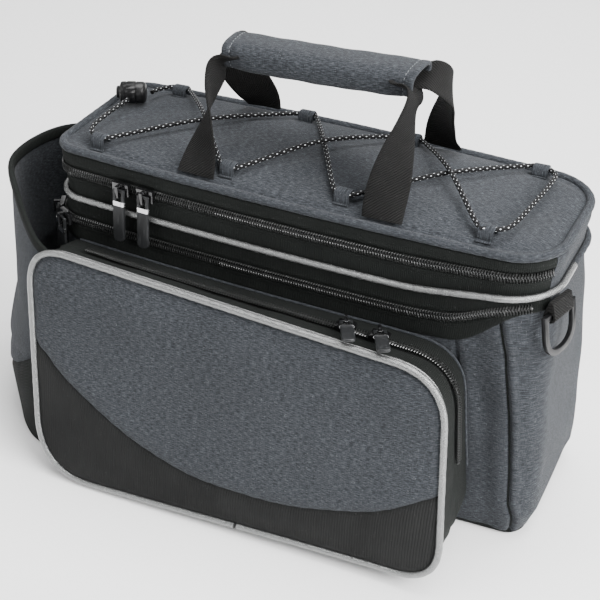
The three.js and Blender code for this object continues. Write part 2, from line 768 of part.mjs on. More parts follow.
// Reflective piping round the pocket, its two ends meeting at the middle of the floor
const pocketPipingRing = offsetOutline(pocketRing, pocketPipingRadius + gap).map(([x, z], k) => {
  const y = pocketFront(...pocketRing[k]) - gap - pocketPanelThickness / 2;
  return [x, y, z];
});
const pipingJoint = 3 * (cornerCurveSteps + 1) + pocketSideSteps[0] + pocketSideSteps[1] - 2 + 4;
add('pocket_piping', tube(
  stretch(pocketPipingRing, pipingJoint + 0.02, pipingJoint + pocketRing.length - 0.02),
  pocketPipingRadius,
  6,
  1,
), 'silver');

// The pocket's zip: along the gusset's top and down its right side
const zipDepthShare = 0.5;
const pocketZipFrom = pocketRing.length - 2;
const pocketZipTo = pocketRing.length + cornerCurveSteps + pocketSideSteps[0] + 1;
function pocketZip(offset) {
  return [-1, 1].map((side) => {
    const row = gussetRow(zipDepthShare + side * 0.065, offset);
    return stretch(row, pocketZipFrom, pocketZipTo);
  });
}
add('pocket_zipper', wall(pocketZip(gap + zipperThickness), pocketZip(gap), false), 'zipper');

// The bottle pocket round the left end, from the front pocket's side seam to the bag's back corner
const seamSetback = 20;
const pocketSideRow = gussetRow(0.8, 0).filter((p) => p[0] < pocketCentre - pocketWidth * 0.3)
  .sort((a, b) => a[2] - b[2]);
function pocketLeftEdge(z) {
  const k = pocketSideRow.findIndex((p) => p[2] > z);
  const [a, b] = [pocketSideRow[k - 1], pocketSideRow[k]];
  return mix(a[0], b[0], (z - a[2]) / (b[2] - a[2]));
}
function bottlePlaces(z, offset) {
  const up = Math.min(1, z / bottleRimHeight);
  const stations = bottleStations.map((row) => {
    const out = mix(row.lowOut, row.highOut, up);
    const ahead = mix(row.lowAhead, row.highAhead, up);
    return [-halfLength - out * bottleReach, halfWidth * ahead];
  });
  const first = stations[0];
  first[0] = pocketLeftEdge(Math.min(Math.max(z, pocketHeight * 0.12), pocketHeight * 0.8)) - 8 * gap;
  first[1] = pocketFront(first[0], z) + seamSetback;
  const last = stations[stations.length - 1];
  last[0] = endSkin(last[1] - 2 * bottleWall, Math.max(z, 0.2 * bodyHeight)) - 6 * gap;
  const curve = new THREE.CatmullRomCurve3(stations.map(([x, y]) => new THREE.Vector3(x, y, 0)));
  const count = (bottleStations.length - 1) * 3;
  const places = [];
  for (let i = 0; i <= count; i++) {
    const at = curve.getPoint(i / count);
    const along = curve.getTangent(i / count);
    places.push([at.x + along.y * offset, at.y - along.x * offset]);
  }
  return places.reverse();
}
function alongBottle(name) {
  const curve = new THREE.CatmullRomCurve3(bottleStations.map((row, k) => new THREE.Vector3(k, row[name], 0)));
  const count = (bottleStations.length - 1) * 3;
  const values = [];
  for (let i = 0; i <= count; i++) values.push(curve.getPoint(i / count).y * bottleRimHeight);
  return values.reverse();
}
const bottleSeam = alongBottle('seam');
const bottleRim = alongBottle('rim');
function bottleRow(heights, offset) {
  return heights.map((z, k) => {
    const [x, y] = bottlePlaces(z, offset)[k];
    return [x, y, z];
  });
}
function bottleRows(low, high, offset) {
  return [0, 0.5, 1].map((t) => bottleRow(low.map((z, k) => mix(z, high[k], t)), offset));
}
const floorLine = bottleSeam.map(() => bottleFloor);
const seamUnder = bottleSeam.map((z) => z - gap / 2);
const seamOver = bottleSeam.map((z) => z + gap / 2);
add('bottle_pocket_upper', wall(
  bottleRows(seamOver, bottleRim, 0),
  bottleRows(seamOver, bottleRim, bottleWall),
  false,
), 'heather');

const floorEdge = bottlePlaces(bottleFloor, bottleWall / 2);
const bodySide = [-0.7, -0.2, 0.2, 0.7].map((share) => {
  const y = share * halfWidth;
  return [endSkin(y, 0.2 * bodyHeight) - 4 * gap, y];
});
const pocketSide = [
  [floorEdge[floorEdge.length - 1][0], -halfWidth * 1.5],
  [endSkin(0, 0.2 * bodyHeight) - 4 * gap, -halfWidth * 1.2],
];
const floorShape = new THREE.Shape(
  [...floorEdge, ...pocketSide, ...bodySide].map(([x, y]) => new THREE.Vector2(x, y)),
);
const floorGeometry = new THREE.ExtrudeGeometry(floorShape, { depth: bottleWall, bevelEnabled: false });
floorGeometry.translate(0, 0, bottleFloor);
add('bottle_pocket_lower', fromManifold(toManifold(wall(
  bottleRows(floorLine, seamUnder, 0),
  bottleRows(floorLine, seamUnder, bottleWall),
  false,
)).add(toManifold(floorGeometry))), 'black');

// The black binding along the bottle pocket's slanted mouth
const bindingLine = bottleRow(bottleRim, bottleWall / 2).map(([x, y, z]) => [x, y, z + bottleBindingRadius + 4 * gap]);
add('bottle_pocket_binding', tube(bindingLine.slice(1, -1), bottleBindingRadius, 6, 1), 'black');

// Zip sliders with a bail each, and pull tabs that hang from the bails
function frameAt(origin, outward, down) {
  const out = new THREE.Vector3(...outward).normalize();
  const up = new THREE.Vector3(...down).multiplyScalar(-1);
  up.addScaledVector(out, -up.dot(out)).normalize();
  const side = new THREE.Vector3().crossVectors(up, out);
  const back = out.clone().multiplyScalar(-1);
  const frame = new THREE.Matrix4().makeBasis(side, back, up);
  frame.setPosition(...origin);
  return frame;
}

const bailTall = 2 * (1.6 + bailThickness) + 3;
function sliderSolid(origin, outward, along, down) {
  const block = new THREE.BoxGeometry(sliderLength, sliderBlock, sliderWidth);
  block.translate(0, -sliderBlock / 2, 0);
  const alongUp = new THREE.Vector3().crossVectors(new THREE.Vector3(...along), new THREE.Vector3(...outward));
  block.applyMatrix4(frameAt(origin, outward, alongUp.toArray()));
  const arch = new THREE.Shape();
  const top = sliderBlock + bailRoom + bailThickness;
  arch.moveTo(-bailTall / 2, sliderBlock - 1);
  arch.lineTo(bailTall / 2, sliderBlock - 1);
  arch.lineTo(bailTall / 2, top);
  arch.lineTo(-bailTall / 2, top);
  arch.closePath();
  const room = new THREE.Path();
  room.moveTo(-bailTall / 2 + bailThickness, sliderBlock);
  room.lineTo(-bailTall / 2 + bailThickness, sliderBlock + bailRoom);
  room.lineTo(bailTall / 2 - bailThickness, sliderBlock + bailRoom);
  room.lineTo(bailTall / 2 - bailThickness, sliderBlock);
  room.closePath();
  arch.holes.push(room);
  const bail = new THREE.ExtrudeGeometry(arch, { depth: bailWidth, bevelEnabled: false });
  bail.translate(0, 0, -bailWidth / 2);
  bail.applyMatrix4(new THREE.Matrix4().makeBasis(
    new THREE.Vector3(0, 0, 1),
    new THREE.Vector3(0, -1, 0),
    new THREE.Vector3(1, 0, 0),
  ));
  bail.applyMatrix4(frameAt(origin, outward, down));
  return fromManifold(toManifold(block).add(toManifold(bail)));
}

const pullAxis = sliderBlock + bailRoom / 2;
function pullSolid(origin, outward, down, lean) {
  const plate = new THREE.Shape();
  const half = pullWidth / 2;
  const top = pullBar / 2;
  const bottom = top - pullLength;
  const round = half * 0.8;
  plate.moveTo(-half, top);
  plate.lineTo(-half, bottom + round);
  plate.quadraticCurveTo(-half, bottom, -half + round, bottom);
  plate.lineTo(half - round, bottom);
  plate.quadraticCurveTo(half, bottom, half, bottom + round);
  plate.lineTo(half, top);
  plate.closePath();
  const window = new THREE.Path();
  const side = bailWidth / 2 + 1.1;
  window.moveTo(-side, -top);
  window.lineTo(side, -top);
  window.lineTo(side, -top - pullWindow);
  window.lineTo(-side, -top - pullWindow);
  window.closePath();
  plate.holes.push(window);
  const geometry = new THREE.ExtrudeGeometry(plate, { depth: pullThickness, bevelEnabled: false, curveSegments: 3 });
  geometry.translate(0, 0, -pullThickness / 2);
  geometry.rotateX(Math.PI / 2);
  geometry.rotateX(-lean);
  geometry.translate(0, -pullAxis, 0);
  geometry.applyMatrix4(frameAt(origin, outward, down));
  return geometry;
}

const coilTop = gap + zipperThickness + gap;
const degree = Math.PI / 180;
function addPull(name, origin, outward, along, down, lean) {
  add(`slider_${name}`, sliderSolid(origin, outward, along, down), 'metal');
  add(`pull_${name}`, pullSolid(origin, outward, down, lean * degree), 'rubber');
}
const lidPullLean = 5;
[['lid_left', -124], ['lid_right', -104]].forEach(([name, x]) => {
  const y = frontSkin(x, lidZipHeight);
  const slope = (frontSkin(x + 1, lidZipHeight) - y);
  addPull(name, [x, y - coilTop, lidZipHeight], [slope, -1, 0], [1, slope, 0], [0, 0, -1], lidPullLean);
});
const expansionPullLean = 3;
[['expansion_left', frontLeftStart + 1.4], ['expansion_right', frontLeftStart + 3.4]].forEach(([name, u]) => {
  const turn = (180 + 90 * (u - frontLeftStart) / cornerSteps) * degree;
  const outward = [Math.cos(turn), Math.sin(turn), 0];
  const [place] = stretch(skinRing(expansionMiddle, expansionSkin + zipperThickness + gap), u, u + 1);
  addPull(name, place, outward, [-outward[1], outward[0], 0], [0, 0, -1], expansionPullLean);
});
const pocketPullTurn = 26 * degree;
const pocketPullLean = 17;
[['pocket_left', 58], ['pocket_right', 82]].forEach(([name, x]) => {
  const row = gussetRow(zipDepthShare, 0);
  const k = row.findIndex((p, i) => p[0] >= x && row[(i + 1) % row.length][0] < x && p[2] > pocketHeight / 2);
  const t = (row[k][0] - x) / (row[k][0] - row[k + 1][0]);
  const place = row[k].map((value, axis) => mix(value, row[k + 1][axis], t));
  const down = [Math.sin(pocketPullTurn), -Math.cos(pocketPullTurn), 0];
  addPull(name, [x, place[1], place[2] + coilTop + 0.6], [0, 0, 1], [1, 0, 0], down, pocketPullLean);
});

// The D-ring in its webbing tab, high on the right end
const ringAxisHeight = bodyHeight - ringDrop;
const ringSize = skinSizes(ringAxisHeight);
const ringBeyond = Math.abs(ringAcross) - (ringSize.wide - ringSize.right);
const ringTurn = -0.75 * Math.asin(Math.max(0, ringBeyond) / ringSize.right);
const ringSkin = ringSize.long - ringSize.right + Math.sqrt(ringSize.right ** 2 - ringBeyond ** 2);
const eyeRoom = 1;
const ringOut = ringTabWall + ringBar + eyeRoom + 5 * gap;
function placeOnEnd(geometry) {
  geometry.rotateZ(ringTurn);
  geometry.translate(
    ringSkin + ringOut * Math.cos(ringTurn),
    ringAcross + ringOut * Math.sin(ringTurn),
    ringAxisHeight,
  );
  return geometry;
}
const tabShape = new THREE.Shape();
const tabRadius = ringBar + eyeRoom + ringTabWall;
tabShape.absarc(0, 0, tabRadius, Math.PI, 2 * Math.PI, false);
tabShape.lineTo(tabRadius * 0.35, ringTabLength * 0.62);
tabShape.lineTo(-tabRadius * 0.35, ringTabLength * 0.62);
tabShape.closePath();
const tabEye = new THREE.Path();
tabEye.absarc(0, 0, ringBar + eyeRoom, 0, 2 * Math.PI, true);
tabShape.holes.push(tabEye);
const tabGeometry = new THREE.ExtrudeGeometry(tabShape, { depth: ringTabWidth, bevelEnabled: false, curveSegments: 5 });
tabGeometry.translate(0, 0, -ringTabWidth / 2);
tabGeometry.rotateX(Math.PI / 2);
add('ring_tab', placeOnEnd(tabGeometry), 'webbing');

const ringShape = new THREE.Shape();
const ringHalf = ringWidth / 2;
ringShape.moveTo(-ringHalf, ringBar);
ringShape.lineTo(-ringHalf, -ringHeight * 0.4);
ringShape.quadraticCurveTo(-ringHalf, -ringHeight, 0, -ringHeight);
ringShape.quadraticCurveTo(ringHalf, -ringHeight, ringHalf, -ringHeight * 0.4);
ringShape.lineTo(ringHalf, ringBar);
ringShape.closePath();
const ringHole = new THREE.Path();
const holeHalf = ringHalf - 2 * ringBar;
const holeFloor = -ringHeight + 2 * ringBar;
ringHole.moveTo(-holeHalf, -ringBar);
ringHole.lineTo(holeHalf, -ringBar);
ringHole.lineTo(holeHalf, -ringHeight * 0.4);
ringHole.quadraticCurveTo(holeHalf, holeFloor, 0, holeFloor);
ringHole.quadraticCurveTo(-holeHalf, holeFloor, -holeHalf, -ringHeight * 0.4);
ringHole.closePath();
ringShape.holes.push(ringHole);
const ringGeometry = new THREE.ExtrudeGeometry(ringShape, { depth: 2 * ringBar * 0.8, bevelEnabled: false, curveSegments: 6 });
ringGeometry.translate(0, 0, -ringBar * 0.8);
ringGeometry.rotateX(Math.PI / 2);
ringGeometry.rotateZ(Math.PI / 2);
ringGeometry.rotateY(-ringRest * degree);
add('d_ring', placeOnEnd(ringGeometry), 'plastic');

export default bag;
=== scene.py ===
# %% [markdown]
# # A soft bicycle trunk bag
#
# A trunk bag rides on a bicycle's rear rack. This one is a padded box of grey heather cloth and ribbed
# black cloth. Its lid is held by a coil zip, laced over with an elastic cord and carried by a padded
# handle. A deep pocket stands out on its front side and an open bottle pocket wraps round its left end.
#
# A CAD model already fixes where every piece is and how big it is. This lesson dresses that model. Each
# piece of cloth is a surface worked out with numpy from the same few sizes, so it lies where its solid
# lies.

# %% Loading the frame
import math

import bmesh
import bpy
import numpy as np
from mathutils import Matrix


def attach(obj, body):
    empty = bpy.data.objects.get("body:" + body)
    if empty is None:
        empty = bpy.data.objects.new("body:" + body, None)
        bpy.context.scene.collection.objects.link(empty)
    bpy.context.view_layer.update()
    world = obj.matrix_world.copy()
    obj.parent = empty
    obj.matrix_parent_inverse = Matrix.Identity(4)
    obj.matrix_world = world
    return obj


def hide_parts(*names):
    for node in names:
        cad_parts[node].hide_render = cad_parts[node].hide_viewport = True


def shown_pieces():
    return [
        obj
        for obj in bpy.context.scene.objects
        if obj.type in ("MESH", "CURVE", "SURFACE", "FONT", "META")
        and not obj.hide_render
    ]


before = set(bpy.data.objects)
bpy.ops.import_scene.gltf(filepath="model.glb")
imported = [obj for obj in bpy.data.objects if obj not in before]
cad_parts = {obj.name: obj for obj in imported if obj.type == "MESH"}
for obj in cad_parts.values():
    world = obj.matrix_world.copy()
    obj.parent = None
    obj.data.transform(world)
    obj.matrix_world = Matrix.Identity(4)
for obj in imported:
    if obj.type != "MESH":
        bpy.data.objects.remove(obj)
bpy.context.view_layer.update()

# %% [markdown]
# ## The camera
#
# The photograph looks down on the bag from its front right. Its direction came from matching the long edges
# of the lid and the base. A real camera could be placed by eye, but a matrix built from three angles can be
# read and corrected one number at a time.

# %% The camera
YAW, PITCH, ROLL = math.radians(25.2), math.radians(34.2), math.radians(0.5)
TARGET_HEIGHT = 0.1
CAMERA_OFFSET = (-0.0144, 0.0121, 1.011)
FOCAL_PIXELS, PHOTO_PIXELS, SENSOR = 1350.0, 600.0, 36.0


def camera_axes():
    """Right, up and backwards: backwards from yaw and pitch, the other two square to it, then rolled."""
    backwards = np.array([math.sin(YAW) * math.cos(PITCH), -math.cos(YAW) * math.cos(PITCH),
                          math.sin(PITCH)])
    right = np.cross([0, 0, 1], backwards)
    right = right / np.linalg.norm(right)
    up = np.cross(backwards, right)
    rolled_right = right * math.cos(ROLL) + up * math.sin(ROLL)
    rolled_up = -right * math.sin(ROLL) + up * math.cos(ROLL)
    return rolled_right, rolled_up, backwards


right, up, backwards = camera_axes()
camera_data = bpy.data.cameras.new("camera")
camera_data.sensor_width = SENSOR
camera_data.lens = FOCAL_PIXELS * SENSOR / PHOTO_PIXELS
camera = bpy.data.objects.new("camera", camera_data)
bpy.context.scene.collection.objects.link(camera)
place = np.array([0, 0, TARGET_HEIGHT]) + right * CAMERA_OFFSET[0] + up * CAMERA_OFFSET[1]
place = place + backwards * CAMERA_OFFSET[2]
matrix = np.eye(4)
matrix[:3, 0], matrix[:3, 1], matrix[:3, 2], matrix[:3, 3] = right, up, backwards, place
camera.matrix_world = Matrix(matrix.tolist())
bpy.context.scene.camera = camera
print("camera stands at", np.round(place, 3), "lens", round(camera_data.lens, 1))

# %% [markdown]
# ## Sizes
#
# All shapes below work in millimetres and are made metres when they become meshes. These are the sizes that
# the maker of the bag would have on the cutting table.

# %% The bag's sizes in millimetres
LENGTH, WIDTH, SIDE_BOW = 370.0, 116.0, 6.0
BODY_HEIGHT, BASE_THICK, BODY_WALL = 191.0, 4.0, 5.0
BODY_CORNER_RIGHT, BODY_CORNER_LEFT = 33.0, 20.0
LID_CORNER_RIGHT, LID_CORNER_LEFT = 34.0, 17.0
LID_BAND, LID_THICK, LID_CROWN, LID_ROLL, CORNER_LIFT = 34.0, 5.0, 9.0, 3.0, 8.0
GAP = 0.3
PIPING, BAND2_HEIGHT, BAND2_THICK = 2.4, 34.0, 1.6
POCKET_WIDE, POCKET_HIGH, POCKET_X, POCKET_Z = 314.0, 168.0, -14.0, 4.2
POCKET_DEEP_TOP, POCKET_DEEP_LOW, POCKET_SAG = 41.0, 72.0, 8.0
POCKET_WALL, PANEL_THICK, PANEL_CROWN, POCKET_PIPING = 2.2, 3.0, 5.0, 2.5
BOTTLE_REACH, BOTTLE_WALL, BOTTLE_FLOOR, BOTTLE_RIM = 58.0, 2.4, 1.2, 188.0
STRAP_WIDE, STRAP_THICK, STRAP_SPREAD = 28.0, 2.0, 69.0
HANDLE_Z, HANDLE_LONG, HANDLE_WIDE, HANDLE_THICK, HANDLE_TILT = 304.0, 136.0, 34.0, 21.0, 6.0
HALF_LENGTH, HALF_WIDTH = LENGTH / 2, WIDTH / 2
LID_TOP = BODY_HEIGHT + LID_BAND
LID_SURFACE = LID_TOP + GAP + LID_THICK
PIPING_HEIGHT = BODY_HEIGHT + PIPING / 2
BAND2_LOW, BAND2_TOP = BODY_HEIGHT - BAND2_HEIGHT, PIPING_HEIGHT - PIPING - GAP
BODY_ROWS = np.array([
    # share of the height, then shares of the half length, the half width and the corner radius
    (0.0, 0.995, 0.97, 0.42),
    (0.1, 1.03, 1.01, 0.5),
    (0.3, 1.032, 1.03, 0.58),
    (0.55, 1.02, 1.03, 0.66),
    (0.8, 1.005, 1.02, 0.82),
    (1.0, 0.985, 1.01, 1.0),
])
print("lid surface at", LID_SURFACE, "mm")

# %% [markdown]
# ## Turning grids of points into closed cloth
#
# Real cloth has thickness and a rolled edge, so every piece here is closed. The tool below takes a grid:
# one direction goes round the section of the piece, the other runs along it. It joins the grid into quads,
# closes its ends, lays a cloth pattern map over it in metres, and turns the faces outwards if the volume
# comes out negative. A Solidify modifier could give thickness too, but a section with its own rolled edge
# looks sewn.

# %% Small number helpers
def smooth(t):
    """Nought below 0, one above 1 and the curve 3tt - 2ttt between."""
    s = np.clip(t, 0.0, 1.0)
    return s * s * (3 - 2 * s)


def mix(a, b, t):
    """The value a share t of the way from a to b."""
    return a + (b - a) * t


def bell(distance, width):
    """A bell curve: e to the power of minus the square of distance over width."""
    return np.exp(-(distance / width) ** 2)


def bells(distance, rows):
    """A sum of bell curves over a distance, one for each row of centre, width and height."""
    return sum(height * bell(distance - centre, width) for centre, width, height in rows)


def rounder(value, power):
    """A cosine or sine drawn towards a square's: its sign times a power of its size."""
    return np.sign(value) * np.abs(value) ** power


def unit(v):
    """Vectors divided by their own lengths."""
    return v / np.maximum(np.linalg.norm(v, axis=-1, keepdims=True), 1e-12)


def run_length(points):
    """The length run along a line of points, starting at nought."""
    steps = np.linalg.norm(np.diff(points, axis=0), axis=-1)
    return np.concatenate([[0.0], np.cumsum(steps)])


def resample(points, count):
    """The same line with evenly spaced points."""
    run = run_length(points)
    at = np.linspace(0, run[-1], count)
    return np.stack([np.interp(at, run, points[:, k]) for k in range(points.shape[1])], axis=1)


def curve_through(points, each):
    """A smooth line through given points: each span is a cubic whose slope at a point is half the step
    between its neighbours."""
    p = np.asarray(points, float)
    ends = np.vstack([2 * p[0] - p[1], p, 2 * p[-1] - p[-2]])
    t = np.linspace(0, 1, each, endpoint=False)[None, :, None]
    a, b, c, d = ends[:-3, None], ends[1:-2, None], ends[2:-1, None], ends[3:, None]
    squared, cubed = 2 * a - 5 * b + 4 * c - d, 3 * b - a - 3 * c + d
    line = 0.5 * (2 * b + (c - a) * t + squared * t ** 2 + cubed * t ** 3)
    return np.vstack([line.reshape(-1, p.shape[1]), p[-1:]])


# %% The cloth maker
def mesh_object(name, points, faces, maps):
    """A mesh from points in millimetres, quads and a map position for each corner."""
    volume = 0.0
    for k in (1, 2):
        a, b, c = points[faces[:, 0]], points[faces[:, k]], points[faces[:, k + 1]]
        volume += float((a * np.cross(b, c)).sum())
    if volume < 0:
        faces, maps = faces[:, ::-1], maps[:, ::-1]
    mesh = bpy.data.meshes.new(name)
    mesh.vertices.add(len(points))
    mesh.vertices.foreach_set("co", (points * 0.001).ravel().astype(np.float32))
    mesh.loops.add(faces.size)
    mesh.loops.foreach_set("vertex_index", faces.ravel().astype(np.int32))
    mesh.polygons.add(len(faces))
    mesh.polygons.foreach_set("loop_start", np.arange(0, faces.size, 4, dtype=np.int32))
    mesh.polygons.foreach_set("loop_total", np.full(len(faces), 4, dtype=np.int32))
    layer = mesh.uv_layers.new(name="cloth")
    layer.data.foreach_set("uv", (maps * 0.001).ravel().astype(np.float32))
    mesh.update(calc_edges=True)
    cleaner = bmesh.new()
    cleaner.from_mesh(mesh)
    bmesh.ops.remove_doubles(cleaner, verts=cleaner.verts, dist=2e-6)
    bmesh.ops.dissolve_degenerate(cleaner, edges=cleaner.edges, dist=1e-7)
    cleaner.to_mesh(mesh)
    cleaner.free()
    mesh.polygons.foreach_set("use_smooth", np.ones(len(mesh.polygons), dtype=bool))
    mesh.set_sharp_from_angle(angle=math.radians(50))
    obj = bpy.data.objects.new(name, mesh)
    bpy.context.scene.collection.objects.link(obj)
    return obj


def grid_faces(rows, cols, around, along):
    """Quads of a grid of rows and columns. around and along say whether the last row or column joins the
    first."""
    r = np.arange(rows if around else rows - 1)[:, None]
    c = np.arange(cols if along else cols - 1)[None, :]
    r2, c2 = (r + 1) % rows, (c + 1) % cols
    quads = np.stack([r * cols + c, r * cols + c2, r2 * cols + c2, r2 * cols + c], axis=-1).reshape(-1, 4)
    corners = [np.broadcast_arrays(c + i, r + j) for i, j in ((0, 0), (1, 0), (1, 1), (0, 1))]
    index = np.stack([np.stack(q, axis=-1) for q in corners], axis=2).reshape(-1, 4, 2)
    return quads, index


def lofted(name, grid, ring=False, poles=False, flat_map=None, turned=False):
    """A closed piece from grid[section point, place along, xyz]. Lengths round the section and along the
    piece become the cloth map, unless flat_map gives two axes to read it from. Turned swaps the two
    lengths."""
    rows, cols = grid.shape[:2]
    quads, index = grid_faces(rows, cols, not poles, ring)
    middle = grid[:, cols // 2]
    v = run_length(np.vstack([middle, middle[:1]]))
    widest = grid[0] if not poles else grid[rows // 2]
    u = run_length(np.vstack([widest, widest[:1]]))
    maps = np.stack([u[index[..., 0]], v[index[..., 1]]], axis=-1)
    if not ring:
        half = np.arange(rows // 2 - 1)
        cap = np.stack([half, half + 1, rows - 2 - half, rows - 1 - half], axis=-1) * cols
        both = np.vstack([cap, (cap + cols - 1)[:, ::-1]])
        quads = np.vstack([quads, both])
        cap_map = np.stack([np.zeros(both.shape), v[both // cols]], axis=-1)
        maps = np.vstack([maps, cap_map])
    if turned:
        maps = maps[..., ::-1]
    points = grid.reshape(-1, 3)
    if flat_map is not None:
        maps = points[quads][..., list(flat_map)]
    return mesh_object(name, points, quads, maps)


def rolled_wall(outer, inner, rounds=4):
    """The section of a cloth wall: up its outer grid, over a rolled rim, down its inner grid and under
    again. A rim point is the middle of the edge plus cosine and sine parts of half the thickness."""
    def rim(o, i, before):
        middle, half = (o + i) / 2, (o - i) / 2
        ahead = unit(o - before) * np.linalg.norm(half, axis=-1, keepdims=True)
        turns = np.linspace(0, math.pi, rounds + 2)[1:-1]
        return np.stack([middle + half * math.cos(a) + ahead * math.sin(a) for a in turns])

    top = rim(outer[-1], inner[-1], outer[-2])
    low = rim(inner[0], outer[0], inner[1])
    return np.roll(np.concatenate([outer, top, inner[::-1], low]), rounds // 2, axis=0)


def settle(obj, node=None, body="bag"):
    """A finished piece rides on a body and may stand for one of the frame's nodes, which is then
    hidden."""
    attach(obj, body)
    if node is not None:
        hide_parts(node)


print("cloth maker ready")

# %% [markdown]
# ## The outside of the bag
#
# From above, the bag is a long rounded rectangle whose sides bow outwards a little. Its sizes change with
# height, tucked in under the lid and fuller near the base. One function gives that outside at any height,
# and body, bands, lid and piping all ask it where they lie.

# %% The skin of the bag
CORNER, SIDE, END = 14, 76, 22
COUNT = 4 * CORNER + 2 * SIDE + 2 * END
FRONT_LEFT = 2 * CORNER + SIDE + END
FRONT_RIGHT = FRONT_LEFT + CORNER + SIDE


def rounded_ring(long, wide, right_radius, left_radius, bow=SIDE_BOW):
    """Four quarter circles joined by straight runs, counter-clockwise from the right end, then y times
    (1 + bow share times (1 - (x / long) squared))."""
    parts = []
    centres = ((1, 1, right_radius, SIDE), (-1, 1, left_radius, END),
               (-1, -1, left_radius, SIDE), (1, -1, right_radius, END))
    for k, (sx, sy, radius, steps) in enumerate(centres):
        turn = (k + np.linspace(0, 1, CORNER + 1)) * math.pi / 2
        x = sx * (long - radius) + radius * np.cos(turn)
        y = sy * (wide - radius) + radius * np.sin(turn)
        parts.append(np.stack([x, y], axis=-1))
        nx, ny, next_radius, _ = centres[(k + 1) % 4]
        last = (k + 1) * math.pi / 2
        end = np.stack([nx * (long - next_radius) + next_radius * math.cos(last),
                        ny * (wide - next_radius) + next_radius * math.sin(last)], axis=-1)
        share = np.linspace(0, 1, steps + 1)[1:-1][None, :, None]
        parts.append(mix(parts[-1][:, -1:], end, share))
    ring = np.concatenate(parts, axis=1)
    ring[..., 1] *= 1 + bow / wide * (1 - (ring[..., 0] / long) ** 2)
    return ring


def skin_sizes(z):
    """Half length, half width and corner radii at heights z: the body's table below, the lid's sizes
    above."""
    share = np.clip(z / BODY_HEIGHT, 0, 1)
    long, wide, corner = (np.interp(share, BODY_ROWS[:, 0], BODY_ROWS[:, k]) for k in (1, 2, 3))
    t = smooth((z - BODY_HEIGHT) / LID_BAND)
    return (mix(HALF_LENGTH * long, HALF_LENGTH, t), mix(HALF_WIDTH * wide, HALF_WIDTH, t),
            mix(BODY_CORNER_RIGHT * corner, LID_CORNER_RIGHT, t), mix(BODY_CORNER_LEFT, LID_CORNER_LEFT, t))


def lift(x, z):
    """How far the lines round the right end rise, most at the body's top edge."""
    share = np.where(z < BODY_HEIGHT, (z / BODY_HEIGHT) ** 3, (LID_TOP - z) / LID_BAND)
    return CORNER_LIFT * np.maximum(0, share) * smooth((x - HALF_LENGTH * 0.45) / (HALF_LENGTH * 0.45))


def skin(z, offset=0.0):
    """Rows of the bag's outside at heights z, moved outwards by offset."""
    z = np.atleast_1d(np.asarray(z, float))[:, None]
    long, wide, right_radius, left_radius = skin_sizes(z)
    plan = rounded_ring(long + offset, wide + offset, right_radius + offset, left_radius + offset)
    height = z + lift(plan[..., 0], z)
    return np.concatenate([plan, height[..., None]], axis=-1)


def columns_at(rows, places):
    """Columns of closed rows at places counted in points, mixed between the two nearest."""
    low = np.floor(places).astype(int)
    n = rows.shape[1]
    return mix(rows[:, low % n], rows[:, (low + 1) % n], (places - low)[None, :, None])


def stretch(rows, start, stop, count):
    """The part of closed rows between two places counted in points, with count evenly spaced columns."""
    return columns_at(rows, np.linspace(start, stop, count))


def outward(rows):
    """Unit directions out of the bag at each grid point: the plan's tangent turned a quarter turn right."""
    along = np.gradient(rows[..., :2], axis=1)
    return unit(np.stack([along[..., 1], -along[..., 0], np.zeros(along.shape[:2])], axis=-1))


def crease(p, a, b, width, depth):
    """A dent along the line from a to b: depth times a bell curve of the distance from the line over width.
    Points and line share the same two axes."""
    a, b = np.array(a, float), np.array(b, float)
    t = np.clip(((p - a) @ (b - a)) / ((b - a) @ (b - a)), 0, 1)
    distance = np.linalg.norm(p - (a + t[..., None] * (b - a)), axis=-1)
    return -depth * bell(distance, width)


print("ring of", COUNT, "points")

# %% [markdown]
# ## The lacing cord
#
# One elastic cord starts in its lock on the back left corner, runs through eight sewn loops and comes back
# to the lock. It is held all the way, so it isn't a loose cord. Its route is the frame's own.
# The tube carries a map of its own length, so that the braid follows every bend.

# %% The lacing cord
CORD_RADIUS = 1.6
LACING = np.array([
    (-0.1605, 0.0066, 0.241), (-0.162, -0.014, 0.2406), (-0.1635, -0.035, 0.2386), (-0.1595, -0.0436, 0.2379),
    (-0.151, -0.0472, 0.2377), (-0.143, -0.0446, 0.2378), (-0.092, -0.001, 0.2436), (-0.041, 0.0446, 0.2392),
    (-0.033, 0.0474, 0.2391), (-0.025, 0.0446, 0.2392), (0.002, 0.0, 0.2436), (0.029, -0.0446, 0.2392),
    (0.037, -0.0474, 0.2391), (0.045, -0.0446, 0.2392), (0.09, 0.0, 0.2436), (0.1345, 0.0446, 0.2382),
    (0.143, 0.0474, 0.2379), (0.1513, 0.0444, 0.2378), (0.1555, 0.034, 0.2386), (0.154, 0.0, 0.2396),
    (0.15, -0.034, 0.239), (0.145, -0.0444, 0.2389), (0.136, -0.0474, 0.2389), (0.128, -0.0446, 0.239),
    (0.0925, 0.0, 0.2472), (0.057, 0.0446, 0.2392), (0.049, 0.0474, 0.2391), (0.041, 0.0446, 0.2392),
    (0.0005, 0.0, 0.2472), (-0.04, -0.0446, 0.2392), (-0.048, -0.0474, 0.2391), (-0.056, -0.0446, 0.2392),
    (-0.093, 0.0, 0.2472), (-0.13, 0.0446, 0.2386), (-0.138, 0.0474, 0.2383), (-0.146, 0.0446, 0.2383),
    (-0.151, 0.0335, 0.2396), (-0.1515, 0.026, 0.2404),
])


